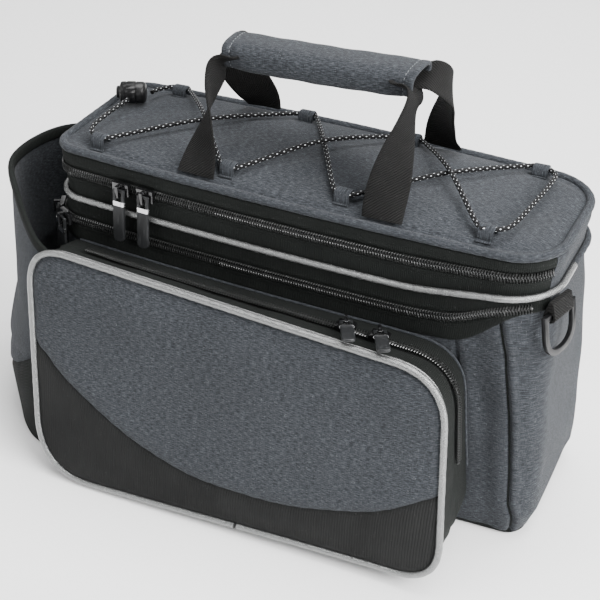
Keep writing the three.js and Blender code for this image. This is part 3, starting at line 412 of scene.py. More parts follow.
def tube_grid(path, radius, sides, closed=False, first_side=(0, 0, 1)):
    """Rings of a round section along a path. Each ring starts from the same side, made square to the
    path, so the section doesn't twist. radius may change along the path."""
    if closed:
        along = unit(np.roll(path, -1, axis=0) - np.roll(path, 1, axis=0))
    else:
        along = unit(np.gradient(path, axis=0))
    side = np.broadcast_to(np.asarray(first_side, float), path.shape)
    side = unit(side - (side * along).sum(1, keepdims=True) * along)
    other = np.cross(along, side)
    turn = np.linspace(0, 2 * math.pi, sides, endpoint=False)[:, None, None]
    return path[None] + np.broadcast_to(radius, (len(path),))[None, :, None] * (
        np.cos(turn) * side[None] + np.sin(turn) * other[None])


cord_path = resample(curve_through(LACING * 1000, 14), 620)
lacing_cord = lofted("lacing_cord", tube_grid(cord_path, CORD_RADIUS, 10))
settle(lacing_cord, "lace_cord")
print("cord length", round(run_length(cord_path)[-1]), "mm")

# %% [markdown]
# ## The padded body
#
# The body is one padded wall of grey cloth round a stiff base. Padding makes it swell a little between its
# seams. Long soft dents run down from the lid and a tuck gathers near the front right corner, where the
# cloth is sewn to the black bands. Cloth simulation could find such dents, but it would also move the walls
# off the seams that hold the pockets, so the dents here are small sums of bell curves.

# %% The body wall's grid
BODY_LEVELS, FINE_FROM, FINE_TO = 64, 204, 222

body_heights = np.linspace(BASE_THICK + GAP, BODY_HEIGHT, BODY_LEVELS)
fine_places = np.linspace(FINE_FROM, FINE_TO, 110, endpoint=False)
body_places = np.concatenate([np.arange(0, FINE_FROM, 0.8), fine_places, np.arange(FINE_TO, COUNT, 0.8)])
outer_body = columns_at(skin(body_heights), body_places)
inner_body = columns_at(skin(body_heights, -BODY_WALL), body_places)
body_out = outward(outer_body)
print("body grid:", outer_body.shape[:2])

# %% [markdown]
# Each dent is a row of a table: where it starts and stops on the front or on the right end, how wide it is
# and how deep. A dent only shows on the side it was read from. Long weak waves over all of the wall keep it
# from looking like a box, and they fade out towards the seams at the base and at the lid.

# %% The body wall's dents
FRONT_DENTS = np.array([
    # start x, start z, stop x, stop z, width, depth
    (112, 176, 172, 148, 7, 1.4),
    (150, 120, 186, 60, 12, 1.2),
])
END_DENTS = np.array([
    # start y, start z, stop y, stop z, width, depth
    (-40, 168, 22, 120, 13, 1.3),
    (-36, 112, 12, 70, 15, 1.2),
    (-30, 50, 30, 22, 10, 1.0),
])


def creases(p, table):
    """The sum of a table's dents: two numbers for the start, two for the stop, the width and the depth."""
    return sum(crease(p, row[0:2], row[2:4], row[4], row[5]) for row in table)


body_x, body_y, body_z = (outer_body[..., k:k + 1] for k in range(3))
on_front = smooth(-body_out[..., 1:2] * 2 - 0.6)
on_end = smooth(body_out[..., 0:1] * 2 - 0.6)
dents = creases(outer_body[..., [0, 2]], FRONT_DENTS)[..., None] * on_front
dents = dents + creases(outer_body[..., [1, 2]], END_DENTS)[..., None] * on_end
off_seams = smooth((body_z - 6) / 30) * smooth((186 - body_z) / 26)
waves = 0.5 * np.sin(body_x * 0.045 + body_z * 0.03)
waves = waves + 0.4 * np.sin(body_z * 0.085 - body_x * 0.02 + body_y * 0.06)
bulge = 0.7 * np.sin(math.pi * np.clip(body_z / BODY_HEIGHT, 0, 1))
print("dents down to", round(float(dents.min()), 2), "mm")

# %% [markdown]
# A seam pulls its own line in and puffs up the cloth on both sides. So the corner seam and the tuck beside
# it are sums of bell curves of the distance to a line on the wall. The tuck fades out towards the base.

# %% The corner seam and the tuck
SEAM_RELIEF = ((0, 1.5, -2.2), (4.5, 3, 1.1), (-7, 6, 0.8))
TUCK_RELIEF = ((0, 1.8, -1.5), (6, 5, 1.0))
LOW_HOLLOW = ((-17, 6, -0.8),)
TUCK_PLACE = 208.4


def seam_place(z):
    """The corner seam's place round the skin, in points: straight down, then swinging round the low
    corner."""
    return FRONT_RIGHT + 0.3 + 3.2 * smooth((34 - z) / 30)


def to_line(column_places, line_places, rows):
    """Signed distance in millimetres along each row from its columns to a place on that row."""
    steps = np.linalg.norm(np.diff(rows, axis=1), axis=-1)
    run = np.concatenate([np.zeros((len(rows), 1)), np.cumsum(steps, axis=1)], axis=1)
    at = np.array([np.interp(place, column_places, line) for place, line in zip(line_places, run)])
    return run - at[:, None]


seam_gap = to_line(body_places, seam_place(body_heights), outer_body)[..., None]
tuck_gap = to_line(body_places, TUCK_PLACE + 0.006 * (165 - body_heights), outer_body)[..., None]
tuck_strength = smooth((body_z - 60) / 60) * smooth((182 - body_z) / 12)
seam_relief = bells(seam_gap, SEAM_RELIEF) + bells(tuck_gap, TUCK_RELIEF) * tuck_strength
seam_relief = seam_relief + bells(seam_gap, LOW_HOLLOW) * smooth((150 - body_z) / 60)
outer_body = outer_body + body_out * (dents + (waves + bulge) * off_seams + seam_relief)
body = lofted("body_wall", rolled_wall(outer_body, inner_body), ring=True)
settle(body, "body_shell")
seam_columns = np.interp(seam_place(body_heights), body_places, np.arange(len(body_places)))
levels, seam_low = np.arange(BODY_LEVELS), np.floor(seam_columns).astype(int)
seam_line = outer_body[levels, seam_low] + body_out[levels, seam_low] * 0.5
# A thin black tube along the seam's groove is painted shade: it lays the dark line that the groove's shade
# gives.
corner_seam = lofted("corner_seam", tube_grid(resample(seam_line[1:-2], 90), 0.65, 8, first_side=(1, 0, 0)))
settle(corner_seam)
print("body wall:", len(body.data.polygons), "faces")

# %% [markdown]
# ## The stiff base
#
# Under the cloth lies a board that rests on the rack. Only its black edge shows. It is a closed shell whose
# rings shrink to a middle line, top and bottom, so that no hole is left.

# %% The base board
def capped_slab(name, outline, shares, top_at, low_at, edge_steps=5):
    """A slab inside an outline: rings of the outline shrunk by shares, over the top, round a half-round
    edge and back under. top_at and low_at give the heights of the two faces at a point."""
    middle = outline.mean(axis=0)
    middle_line = np.stack([outline[:, 0] * 0.72, np.full(len(outline), middle[1])], axis=-1)

    def rings(height_at, order):
        rows = []
        for share in order:
            flat = mix(middle_line, outline, share)
            rows.append(np.stack([flat[:, 0], flat[:, 1], height_at(flat[:, 0], flat[:, 1])], axis=-1))
        return np.stack(rows)

    top = rings(top_at, shares)
    low = rings(low_at, shares[::-1])
    turns = np.linspace(0, math.pi, edge_steps + 2)[1:-1]
    middle_height, half = (top[-1] + low[0]) / 2, (top[-1] - low[0]) / 2
    out = unit(outline - middle_line)
    out = np.concatenate([out, np.zeros((len(out), 1))], axis=-1)
    reach = np.linalg.norm(half, axis=-1, keepdims=True)
    edge = np.stack([middle_height + half * math.cos(a) + out * reach * math.sin(a) for a in turns])
    return lofted(name, np.concatenate([top, edge, low]), ring=True, poles=True, flat_map=(0, 1))


base_ring = skin(0.0, -GAP - 1.2)[0][:, :2]
base = capped_slab("base_board", base_ring, np.array([0.0, 0.4, 0.8, 0.96, 1.0]),
                   lambda x, y: np.full_like(x, BASE_THICK), lambda x, y: np.zeros_like(x))
settle(base, "base_panel")
print("base board:", len(base.data.polygons), "faces")

# %% [markdown]
# ## The black bands and the lid's grey back band
#
# Between body and lid runs a zipped band, black round the front and left end and grey at the back. Below it
# a narrower band carries the zip that lets the bag grow. A band is a strip of skin with a sewn profile: its
# edges are pulled in by their seams, and the zip's tape lies a little lower between two folded welts.

# %% The sewn profile of a band
TAPE_HALF, TAPE_EDGE = 3.6, 1.6
WELT_RELIEF = ((6.0, 1.1, 0.35), (8.4, 0.55, -0.25))


def zip_channel(away):
    """One over the zip's tape and nought beside it, for a distance from the zip's middle."""
    return 1 - smooth((away - TAPE_HALF) / TAPE_EDGE)


def welted(height, low, top, zip_at, depth=0.9):
    """Outward offset over a band's height: pulled in at both edges by the root of the distance to them,
    lowered by depth over the zip's tape, with a small ridge and a line of stitching beside that."""
    to_edge = np.clip(np.minimum(height - low, top - height) / 3.0, 0, 1) ** 0.5
    away = np.abs(height - zip_at)
    return -0.9 * (1 - to_edge) - depth * zip_channel(away) + bells(away, WELT_RELIEF)


# %% The lid's bands
BACK_LEFT_MIDDLE = CORNER + SIDE + CORNER / 2
BAND_SPLIT = FRONT_RIGHT + 0.7 * CORNER
LID_ZIP = BODY_HEIGHT + LID_BAND * 0.6
band_heights = np.linspace(BODY_HEIGHT + GAP, LID_TOP, 44)


def lid_band(name, start, stop, columns, zipped):
    """A stretch of the lid's band: its outer rows carry the sewn profile and long soft ripples."""
    outer = stretch(skin(band_heights), start, stop, columns)
    inner = stretch(skin(band_heights, -5.0), start, stop, columns)
    out = outward(outer)
    height = np.broadcast_to(band_heights[:, None], outer.shape[:2])
    zip_at = LID_ZIP if zipped else -100.0
    profile = welted(height, BODY_HEIGHT, LID_TOP, zip_at)
    free = np.sin((height - BODY_HEIGHT) / LID_BAND * math.pi)
    ripple = 0.35 * np.sin(outer[..., 0] * 0.11 + height * 0.2) * free
    outer = outer + out * (profile + ripple)[..., None]
    return lofted(name, rolled_wall(outer, inner))


black_lid_band = lid_band("lid_band_black", BACK_LEFT_MIDDLE, BAND_SPLIT, 360, True)
grey_lid_band = lid_band("lid_band_grey", BAND_SPLIT + 0.1, BACK_LEFT_MIDDLE + COUNT - 0.1, 260, False)
settle(black_lid_band, "lid_band_front")
settle(grey_lid_band, "lid_band_back")
print("lid bands:", len(black_lid_band.data.polygons) + len(grey_lid_band.data.polygons), "faces")

# %% [markdown]
# The expansion band is a slack strip of black cloth under the piping, with its own coil zip. It is the
# lid's band once more, with other heights, so the same profile is drawn again and narrows round the front
# right corner, where it stops.

# %% The expansion band
BAND2_START = 2 * CORNER + SIDE


def narrowing(x, most):
    """How far the band narrows towards its end round the front right corner."""
    return smooth((x - HALF_LENGTH * 0.62) / (HALF_LENGTH * 0.3)) * most


def band2_rows(offset, steps):
    """Rows of the band from its low edge to its top edge. Its low edge rises to meet the top one."""
    low, top = (stretch(skin(z, offset), BAND2_START, BAND_SPLIT, 330)[0] for z in (BAND2_LOW, BAND2_TOP))
    low = mix(low, top, narrowing(top[:, :1], 0.75))
    return mix(low[None], top[None], np.linspace(0, 1, steps)[:, None, None])


band2_outer = band2_rows(GAP + BAND2_THICK, 34)
band2_out = outward(band2_outer)
band2_share = np.broadcast_to(np.linspace(0, 1, 34)[:, None], band2_outer.shape[:2])
zip_share = (BODY_HEIGHT - BAND2_HEIGHT / 2 - BAND2_LOW) / (BAND2_TOP - BAND2_LOW)
band2_profile = welted(band2_share * BAND2_HEIGHT, 0, BAND2_HEIGHT, zip_share * BAND2_HEIGHT, 0.7)
band2_outer = band2_outer + band2_out * (band2_profile * 0.8)[..., None]
expansion_band = lofted("expansion_band_cloth", rolled_wall(band2_outer, band2_rows(GAP, 34)))
settle(expansion_band, "expansion_band")
print("expansion band:", len(expansion_band.data.polygons), "faces")

# %% [markdown]
# ## Zips
#
# A coil zip is two plastic spirals whose loops hook into each other. At this size each loop is only a
# millimetre or so, but the row of small glints is what makes a zip look like one. Each spiral here is a
# flattened helix with a square wire of four sides, so hundreds of loops stay light.

# %% The zip's coils
COIL_PITCH = 1.9


def coil_chain(name, line, out, across, half_wide=3.5, high=0.8, lift_by=0.3):
    """Two flattened helices along a line. A point turns about the line's middle: across by half_wide / 2
    times (1 - cosine), outwards by high times sine. The second spiral is the first one mirrored, half a
    turn later."""
    run = run_length(line)
    turns = int(run[-1] / COIL_PITCH)
    steps = turns * 7
    at = np.linspace(0, run[-1], steps)
    centre, normal, side = (np.stack([np.interp(at, run, field[:, k]) for k in range(3)], axis=1)
                            for field in (line, out, across))
    angle = np.linspace(0, turns * 2 * math.pi, steps)
    pieces = []
    for sign, late in ((1, 0.0), (-1, math.pi)):
        reach = half_wide / 2 * (1 - np.cos(angle + late)) * sign - sign * 0.25
        rise = high * np.sin(angle + late) + lift_by + high * 0.6
        path = centre + side * reach[:, None] + normal * rise[:, None]
        pieces.append(tube_grid(path, 0.5, 4, first_side=(0.3, 0.2, 1)))
    objects = [lofted(name + tag, grid) for grid, tag in zip(pieces, ("_a", "_b"))]
    return join(name, objects)


def join(name, objects):
    """Several fresh pieces as one mesh, under the first one's name."""
    joined = bmesh.new()
    for obj in objects:
        joined.from_mesh(obj.data)
    mesh = objects[0].data
    joined.to_mesh(mesh)
    joined.free()
    for obj in objects[1:]:
        old = obj.data
        bpy.data.objects.remove(obj)
        bpy.data.meshes.remove(old)
    objects[0].name = name
    mesh.name = name
    return objects[0]


def lid_zip_lines(height, offset, start, stop, columns=500):
    """The zip's middle line, its outward and its upward directions on the lid's band."""
    line = stretch(skin(height, offset), start, stop, columns)
    return line[0], outward(line)[0], np.broadcast_to([0.0, 0.0, 1.0], line[0].shape)


lid_zip = coil_chain("lid_coil", *lid_zip_lines(LID_ZIP, -0.1, BACK_LEFT_MIDDLE + 0.3, BAND_SPLIT - 0.3))
settle(lid_zip, "lid_zipper")

band2_middle = stretch(skin(BODY_HEIGHT - BAND2_HEIGHT / 2, 0), BAND2_START, BAND_SPLIT, 460)[0]
band2_top = stretch(skin(BAND2_TOP, 0), BAND2_START, BAND_SPLIT, 460)[0]
rise = narrowing(band2_middle[:, :1], 0.72)
band2_line = mix(band2_middle, band2_top, rise)
band2_normal = outward(band2_line[None])[0]
band2_line = (band2_line + band2_normal * (GAP + BAND2_THICK))[3:-14]
expansion_zip = coil_chain("expansion_coil", band2_line, band2_normal[3:-14],
                           np.broadcast_to([0.0, 0.0, 1.0], band2_line.shape))
settle(expansion_zip, "expansion_zipper")
print("coils:", len(lid_zip.data.polygons), "and", len(expansion_zip.data.polygons), "faces")

# %% [markdown]
# ## Reflective piping
#
# A silver cord in a sewn sleeve marks the joint of body and lid. The sleeve is a tube that gathers slightly
# between stitches, so its radius changes along it by about a tenth of a millimetre.

# %% The body's piping
def gathered(path, radius, pitch=9.0, depth=0.03):
    """A radius along a path that swells between stitches: depth times a sine of the run, and half of that
    as a slower sine."""
    run = run_length(path)
    return radius * (1 + depth * np.sin(run * 2 * math.pi / pitch) + 0.5 * depth * np.sin(run * 0.21 + 1))


piping_path = stretch(skin(PIPING_HEIGHT, PIPING + GAP - 0.4), CORNER, 239.5, 620)[0]
body_piping = lofted("body_silver_piping", tube_grid(piping_path, gathered(piping_path, PIPING), 14))
settle(body_piping, "body_piping")
closing_path = stretch(skin(PIPING_HEIGHT, PIPING + GAP - 0.4), 239.6, CORNER + COUNT - 0.1, 120)[0]
closing_piping = lofted("body_cloth_piping", tube_grid(closing_path, gathered(closing_path, PIPING), 14))
settle(closing_piping)
print("body piping:", round(run_length(piping_path)[-1]), "mm")

# %% [markdown]
# ## The lid
#
# The lid is a padded panel inside a rolled edge of its own cloth. It crowns by nine millimetres, dips to
# its seam all round, and the lacing presses shallow troughs into it. A flat plate with a Cast modifier
# would crown too, but the seam's dip and the troughs need their own terms, so the height is one sum.

# %% The lid's panel
LID_INSET = -LID_ROLL * 1.6 - GAP
LID_DENTS = np.array([
    # start x, start y, stop x, stop y, width, depth
    (-176, -30, -128, 22, 9, 1.0),
    (112, -50, 168, 6, 10, 1.2),
    (-20, -56, 18, -18, 8, 0.8),
    (60, 52, 20, 20, 9, 0.7),
])
LACED_RUNS = ((0, 8), (12, 15), (24, 27), (29, 34))
TROUGH_WIDE, TROUGH_DEEP = 5.0, 0.35


def lid_share(x, y):
    """How near the lid's edge a place is, 0 in the middle and 1 at the edge: the sixth root of the sum of
    the sixth powers of its shares along and across."""
    edge = (HALF_WIDTH + LID_INSET) * (1 + SIDE_BOW / HALF_WIDTH * (1 - (x / HALF_LENGTH) ** 2))
    along = np.abs(x) / (HALF_LENGTH + LID_INSET)
    across = np.abs(y) / edge
    return np.minimum(1, (along ** 6 + across ** 6) ** (1 / 6))


def lid_height(x, y):
    """The lid's upper face: its crown, a dip to the seam and soft unevenness of the padding."""
    share = lid_share(x, y)
    crown = LID_CROWN * (1 - share ** 2.4)
    seam_dip = -1.6 * smooth((share - 0.93) / 0.07)
    flat = np.stack([x, y], axis=-1)
    soft = 0.5 * np.sin(x * 0.05 + y * 0.03) * np.cos(y * 0.07 - x * 0.013)
    soft = soft + 0.25 * np.sin(x * 0.11 - y * 0.09)
    dents = creases(flat, LID_DENTS)
    for a, b in LACED_RUNS:
        dents = dents + crease(flat, LACING[a, :2] * 1000, LACING[b, :2] * 1000, TROUGH_WIDE, TROUGH_DEEP)
    return LID_SURFACE + crown + seam_dip + (soft + dents) * (1 - share ** 6)


lid_outline = skin(LID_TOP, LID_INSET)[0][:, :2]
lid_shares = np.concatenate([np.linspace(0, 0.9, 30), np.linspace(0.915, 1, 9)])
lid_panel = capped_slab("lid_padding", lid_outline, lid_shares, lid_height,
                        lambda x, y: LID_TOP + GAP + LID_CROWN * (1 - lid_share(x, y) ** 2.4) * 0.8, 4)
settle(lid_panel, "lid_panel")
print("lid panel:", len(lid_panel.data.polygons), "faces")

# %% [markdown]
# The lid's top is sewn on with a soft rolled edge. A tube of cloth is swept along the lid's outline, and
# its radius is uneven because a sewn roll puckers.

# %% The lid's rolled edge
roll_path = skin(LID_TOP, -LID_ROLL * 0.6)[0]
roll_path[:, 2] = LID_SURFACE - 2.0
roll_path = curve_through(np.vstack([roll_path, roll_path[:1]]), 3)[:-1]
roll_run = run_length(roll_path)
pucker = 1 + 0.022 * np.sin(roll_run * 2 * math.pi / 7.5) + 0.02 * np.sin(roll_run * 0.13)
roll_grid = tube_grid(roll_path, LID_ROLL * pucker, 16, closed=True)
lid_roll = lofted("lid_rolled_edge", roll_grid, ring=True)
settle(lid_roll, "lid_roll")
print("rolled edge:", len(lid_roll.data.polygons), "faces")

# %% [markdown]
# ## Webbing, lacing loops and the handle
#
# Webbing is a flat band that keeps its width and turns as it climbs. It is carried along a path with a
# width direction set at each station. The loops are short bands bent over the cord. The handle's wrap is a
# padded sleeve, open at both ends, that closes round the four straps.

# %% The band maker
def band_grid(path, width_way, width, thickness, edge=0.5, across_steps=12, dish=0.0):
    """Sections of a flat band: across its width with half-round edges. dish bends the width into a shallow
    trough, by dish times (1 minus the share across squared)."""
    along = unit(np.gradient(path, axis=0))
    face = unit(width_way - (width_way * along).sum(1, keepdims=True) * along)
    normal = np.cross(face, along)
    share = rounder(np.linspace(-1, 1, across_steps), 0.8)
    edge_share = edge / width * 2
    past_flat = (np.abs(share) - 1 + edge_share) / edge_share
    round_edge = np.maximum(np.sqrt(np.clip(1 - past_flat, 0, 1)), 0.25)
    thin = thickness / 2 * np.where(past_flat < 0, 1, round_edge)
    low = np.stack([share * width / 2, -thin + dish * (1 - share ** 2)], axis=-1)
    top = np.stack([share[::-1] * width / 2, thin[::-1] + dish * (1 - share[::-1] ** 2)], axis=-1)
    section = np.vstack([low, top])
    return path[None] + section[:, :1, None] * face[None] + section[:, 1:, None] * normal[None]


# %% [markdown]
# Each lacing loop is a short strip of cloth folded over the cord and sewn down at both ends. One formula
# gives its middle line, foot, arch and foot, so the eight loops differ only in place.

# %% The lacing loops
LOOP_WIDE, LOOP_THICK, LOOP_DEEP, LOOP_TUNNEL = 11.0, 1.2, 9.0, 5.2
LOOPS = {"front": (-1, (-151, -48, 37, 136)), "back": (1, (-138, -33, 49, 143))}
LOOP_ACROSS = 46.4


def loop_path(x, y):
    """A strip's middle line over the cord: a short foot, a blunt arch and the other foot."""
    half, top = LOOP_DEEP / 2 + LOOP_THICK / 2, LOOP_TUNNEL + LOOP_THICK * 1.5
    turn = np.linspace(0, math.pi, 22)
    arch_y = y + half * np.cos(turn) * 0.92
    arch_z = top * np.sin(turn) ** 0.8
    feet = np.array([1.9, 1.0])
    ys = np.concatenate([arch_y[0] + feet, arch_y, arch_y[-1] - feet[::-1]])
    zs = np.concatenate([np.full(2, 0.0), arch_z, np.full(2, 0.0)])
    base = lid_height(np.full_like(ys, x), ys * 0.96)
    middle = lid_height(np.array([x]), np.array([y * 0.94]))[0]
    lift_up = np.where(zs > 1.0, middle, np.minimum(base, middle + 0.4)) + zs + 0.3
    line = np.stack([x + 0.3 * np.sin(zs), ys, lift_up], axis=-1)
    return resample(line, 44)


for side_name, (sign, places) in LOOPS.items():
    for k, x in enumerate(places):
        path = loop_path(x, sign * LOOP_ACROSS)
        width_way = np.broadcast_to([1.0, 0.06 * sign, 0.0], path.shape)
        strip = band_grid(path, width_way, LOOP_WIDE, LOOP_THICK, 0.8, 14)
        loop = lofted(f"lacing_loop_{side_name}_{k + 1}", strip)
        settle(loop, f"lace_loop_{side_name}_{k + 1}")
print("lacing loops made")

# %% [markdown]
# Four webbing straps come up from the sides and twist on their way into the handle. A strap is a band
# whose width turns from station to station, which a path with a bevel can't do freely. The stations are
# written down from the photograph.

# %% The handle's straps
HANDLE_END = HANDLE_LONG / 2 + 4 * GAP


def handle_lean(x):
    """The handle tilts: its height changes along the bag."""
    return HANDLE_TILT * x / HANDLE_LONG


FRONT_ROWS = np.array([
    # shift across in widths, share of the half width, share of the way up, width direction x, y, z
    (-0.02, 0.985, 0.0, 1, 0, 0),
    (-0.03, 0.87, 0.18, 0.96, 0.24, -0.12),
    (0.0, 0.66, 0.48, 0.6, 0.72, -0.36),
    (0.05, 0.44, 0.78, 0.05, 0.9, -0.46),
    (0.02, 0.28, 0.93, -0.1, 0.9, -0.44),
    (-0.3, 0.14, 0.985, 0, 0.98, -0.15),
])
BACK_ROWS = np.array([
    (0.04, 0.86, 0.0, 1, 0, 0),
    (0.08, 0.75, 0.2, 0.9, 0.35, -0.2),
    (0.3, 0.54, 0.52, 0.62, 0.62, -0.4),
    (0.5, 0.36, 0.82, 0.3, 0.8, -0.5),
    (0.2, 0.2, 0.975, 0.04, 0.95, -0.3),
    (-0.36, 0.12, 0.985, 0, 0.98, -0.2),
])
FOOT_FRONT = LID_SURFACE + 0.9 * STRAP_THICK
FOOT_BACK = LID_SURFACE + LID_CROWN * 0.36 + STRAP_THICK + 3 * GAP


def strap(rows, side, front, foot):
    """A strap's middle line and width directions from its rows of shares."""
    up = rows[:, 2]
    x = side * (mix(STRAP_SPREAD, HANDLE_END, smooth(up)) + rows[:, 0] * STRAP_WIDE)
    y = front * HALF_WIDTH * rows[:, 1]
    z = foot + (HANDLE_Z - foot) * up + handle_lean(x) * up
    line = curve_through(np.stack([x, y, z], axis=-1), 16)
    ways = curve_through(rows[:, 3:] * np.array([side, -front, 1]), 16)
    return line, ways


STRAPS = (("front", -1, FRONT_ROWS, FOOT_FRONT), ("back", 1, BACK_ROWS, FOOT_BACK))
for front_name, front, rows, foot in STRAPS:
    for side_name, side in (("left", -1), ("right", 1)):
        line, ways = strap(rows, side, front, foot)
        grid = band_grid(line, ways, STRAP_WIDE, STRAP_THICK, 0.9, 22, dish=0.5)
        webbing = lofted(f"webbing_{front_name}_{side_name}", grid)
        settle(webbing, f"strap_{front_name}_{side_name}")
print("four straps made")

# %% [markdown]
# The wrap is a padded cloth closed round the four straps, pinched where it is stitched and with one edge
# lapped over the other. It is a closed tube whose section is a rounded box, with the lap and the pinches
# pressed in as bell curves.

# %% The handle's padded wrap
WRAP_WALL, WRAP_ROWS, STITCH_SHARE = 3.4, 76, 0.925
FLAP_TURN, FLAP_STOP = 2.2, 2.7


def wrap_rows(thin_by, count):
    """Rows along the handle: an oval drawn towards a box, pinched where it is stitched, with small ripples
    and one edge lapped over the other along the top back."""
    share = np.sin(np.linspace(-1, 1, count)[:, None] * math.pi / 2)
    turn = np.linspace(0, 2 * math.pi, 88, endpoint=False)[None]
    across, up = rounder(np.cos(turn), 0.7), rounder(np.sin(turn), 0.7)
    pinch = 1 - 0.05 * np.abs(share) ** 6 - 0.045 * bell(np.abs(share) - STITCH_SHARE, 0.012)
    ripple = 1 + 0.012 * np.sin(share * 17 + turn * 2) + 0.01 * np.sin(share * 9 - turn * 3)
    y = (HANDLE_WIDE / 2 - thin_by) * across * pinch * ripple
    z = (HANDLE_THICK / 2 - thin_by) * up * pinch * ripple
    overlap = smooth((turn - FLAP_TURN) / 0.05) * (1 - smooth((turn - FLAP_STOP) / 0.5))
    z = z - 0.55 * (bell(turn - FLAP_TURN, 0.035) - 0.8 * overlap)
    x = share * HANDLE_LONG / 2 + 1.2 * np.sin(turn + 0.6) * share
    x = np.broadcast_to(x, y.shape)
    sag = -1.1 * (1 - share ** 2)
    return np.stack([x, y, HANDLE_Z + handle_lean(x) + z + sag + 0.5], axis=-1)


wrap_outer, wrap_inner = wrap_rows(0.0, WRAP_ROWS), wrap_rows(WRAP_WALL, WRAP_ROWS)
handle_wrap = lofted("handle_padding", rolled_wall(wrap_outer, wrap_inner, 6), ring=True, turned=True)
settle(handle_wrap, "handle_wrap")
print("handle wrap:", len(handle_wrap.data.polygons), "faces")


# %% [markdown]
# Stitches make a seam read as sewn. Each is a short thin tube that dips into the cloth at both ends, and
# a row of them is one object.

# %% The rows of stitches near the wrap's ends
def stitches(name, line, out, long=2.4, step=3.4, thick=0.26):
    """A row of stitches along a line: each is a short thread that dips into the cloth at both ends."""
    run = run_length(line)
    dip = np.array([-0.45, 0.12, 0.22, 0.12, -0.45])
    made = []
    for k, start in enumerate(np.arange(0.3, run[-1] - long, step)):
        at = np.linspace(start, start + long, 5)
        path = np.stack([np.interp(at, run, line[:, axis]) for axis in range(3)], axis=1)
        lift_way = unit(np.stack([np.interp(at, run, out[:, axis]) for axis in range(3)], axis=1))
        made.append(lofted(f"{name}_{k}", tube_grid(path + lift_way * dip[:, None], thick, 6)))
    return join(name, made)


wrap_shares = np.sin(np.linspace(-1, 1, WRAP_ROWS) * math.pi / 2)
for end_name, share in (("left", -STITCH_SHARE), ("right", STITCH_SHARE)):
    wrap_ring = wrap_outer[np.argmin(np.abs(wrap_shares - share))]
    wrap_ring = np.vstack([wrap_ring, wrap_ring[:1]])
    away = (wrap_ring - wrap_ring.mean(axis=0)) * [0, 1, 1]
    stitch_row = stitches(f"wrap_stitches_{end_name}", wrap_ring, unit(away))
    settle(stitch_row)
print("stitch rows made")

# %% [markdown]
# ## The front pocket
#
# The pocket is a deep tray sewn to the body: a black gusset all round, a padded front in two cloths and
# silver piping where they meet. Its outline is four sides with rounded corners. The two cloths meet on a
# curved seam. Each cloth is a patch stretched between its own four edges, so its threads follow the seam as
# real ones do.

# %% The pocket's outline
POCKET_CORNERS = ((0.475, 0.925, 0.2), (-0.515, 1.0, 0.17), (-0.46, 0.0, 0.25), (0.52, 0.06, 0.17))
SEAM = ((-0.62, 0.68), (-0.485, 0.58), (-0.4, 0.48), (-0.25, 0.325), (-0.1, 0.225), (0.06, 0.2), (0.2, 0.22),
        (0.36, 0.3), (0.48, 0.42), (0.62, 0.56))


def pocket_point(across, up):
    """Shares of the pocket's size as x and z in millimetres."""
    return np.array([POCKET_X + across * POCKET_WIDE, POCKET_Z + up * POCKET_HIGH])


def toward(a, b, length):
    """The place a given length from a towards b."""
    return mix(a, b, length / np.linalg.norm(b - a))


def pocket_outline(curve_steps=22, side_steps=(110, 60, 110, 60)):
    """Corners rounded by quadratic curves, (1 - t) squared a + 2 t (1 - t) b + t squared c, and straight
    sides, counter-clockwise from the top right corner. Also gives the index of each corner's middle."""
    places = [pocket_point(across, up) for across, up, _ in POCKET_CORNERS]
    reach = [row[2] * POCKET_HIGH for row in POCKET_CORNERS]
    points, middles = [], []
    count = 0
    for k, place in enumerate(places):
        before, after = toward(place, places[k - 1], reach[k]), toward(place, places[(k + 1) % 4], reach[k])
        t = np.linspace(0, 1, curve_steps + 1)[:, None]
        curve = (1 - t) ** 2 * before + 2 * t * (1 - t) * place + t * t * after
        start = toward(places[(k + 1) % 4], place, reach[(k + 1) % 4])
        side = mix(after, start, np.linspace(0, 1, side_steps[k] + 1)[1:-1, None])
        middles.append(count + curve_steps // 2)
        points += [curve, side]
        count += len(curve) + len(side)
    return np.vstack(points), middles


def pocket_front(x, z):
    """How far forward the pocket's front lies: deeper towards its floor and most at its lower left
    corner."""
    up = (z - POCKET_Z) / POCKET_HIGH
    left = smooth((POCKET_X + POCKET_WIDE / 2 - x) / POCKET_WIDE)
    deep = mix(POCKET_DEEP_LOW, POCKET_DEEP_TOP, up)
    return -(HALF_WIDTH + SIDE_BOW + deep + POCKET_SAG * left * (1 - up))


def offset_outline(points, distance):
    """A closed outline moved outwards along its own normals."""
    step = unit(np.roll(points, -1, axis=0) - np.roll(points, 1, axis=0))
    return points + distance * np.stack([step[:, 1], -step[:, 0]], axis=-1)


def front_skin(x, z):
    """Where the bag's front face lies at a place along it and a height."""
    long, wide, right_radius, left_radius = skin_sizes(z)
    radius = np.where(x > 0, right_radius, left_radius)
    beyond = np.maximum(0, np.abs(x) - (long - radius))
    straight = wide - radius + np.sqrt(np.maximum(0, radius ** 2 - beyond ** 2))
    return -straight * (1 + SIDE_BOW / wide * (1 - (x / long) ** 2))


def end_skin(y, z):
    """Where the bag's left end lies at a place across it and a height."""
    long, wide, _, radius = skin_sizes(z)
    beyond = np.maximum(0, np.abs(y) - (wide - radius))
    return -(long - radius + np.sqrt(np.maximum(0, radius ** 2 - beyond ** 2)))


pocket_ring, corner_middles = pocket_outline()
print("pocket outline:", len(pocket_ring), "points,", round(run_length(pocket_ring)[-1]), "mm round")

# %% [markdown]
# The gusset is the long strip that gives a pocket its depth. It is a closed ring of cloth between the
# body and the face, with a channel for the zip in the middle, welts beside it and a little slack between
# the seams.

# %% The pocket's gusset
POCKET_BACK_TOP = BAND2_LOW - GAP - 0.3


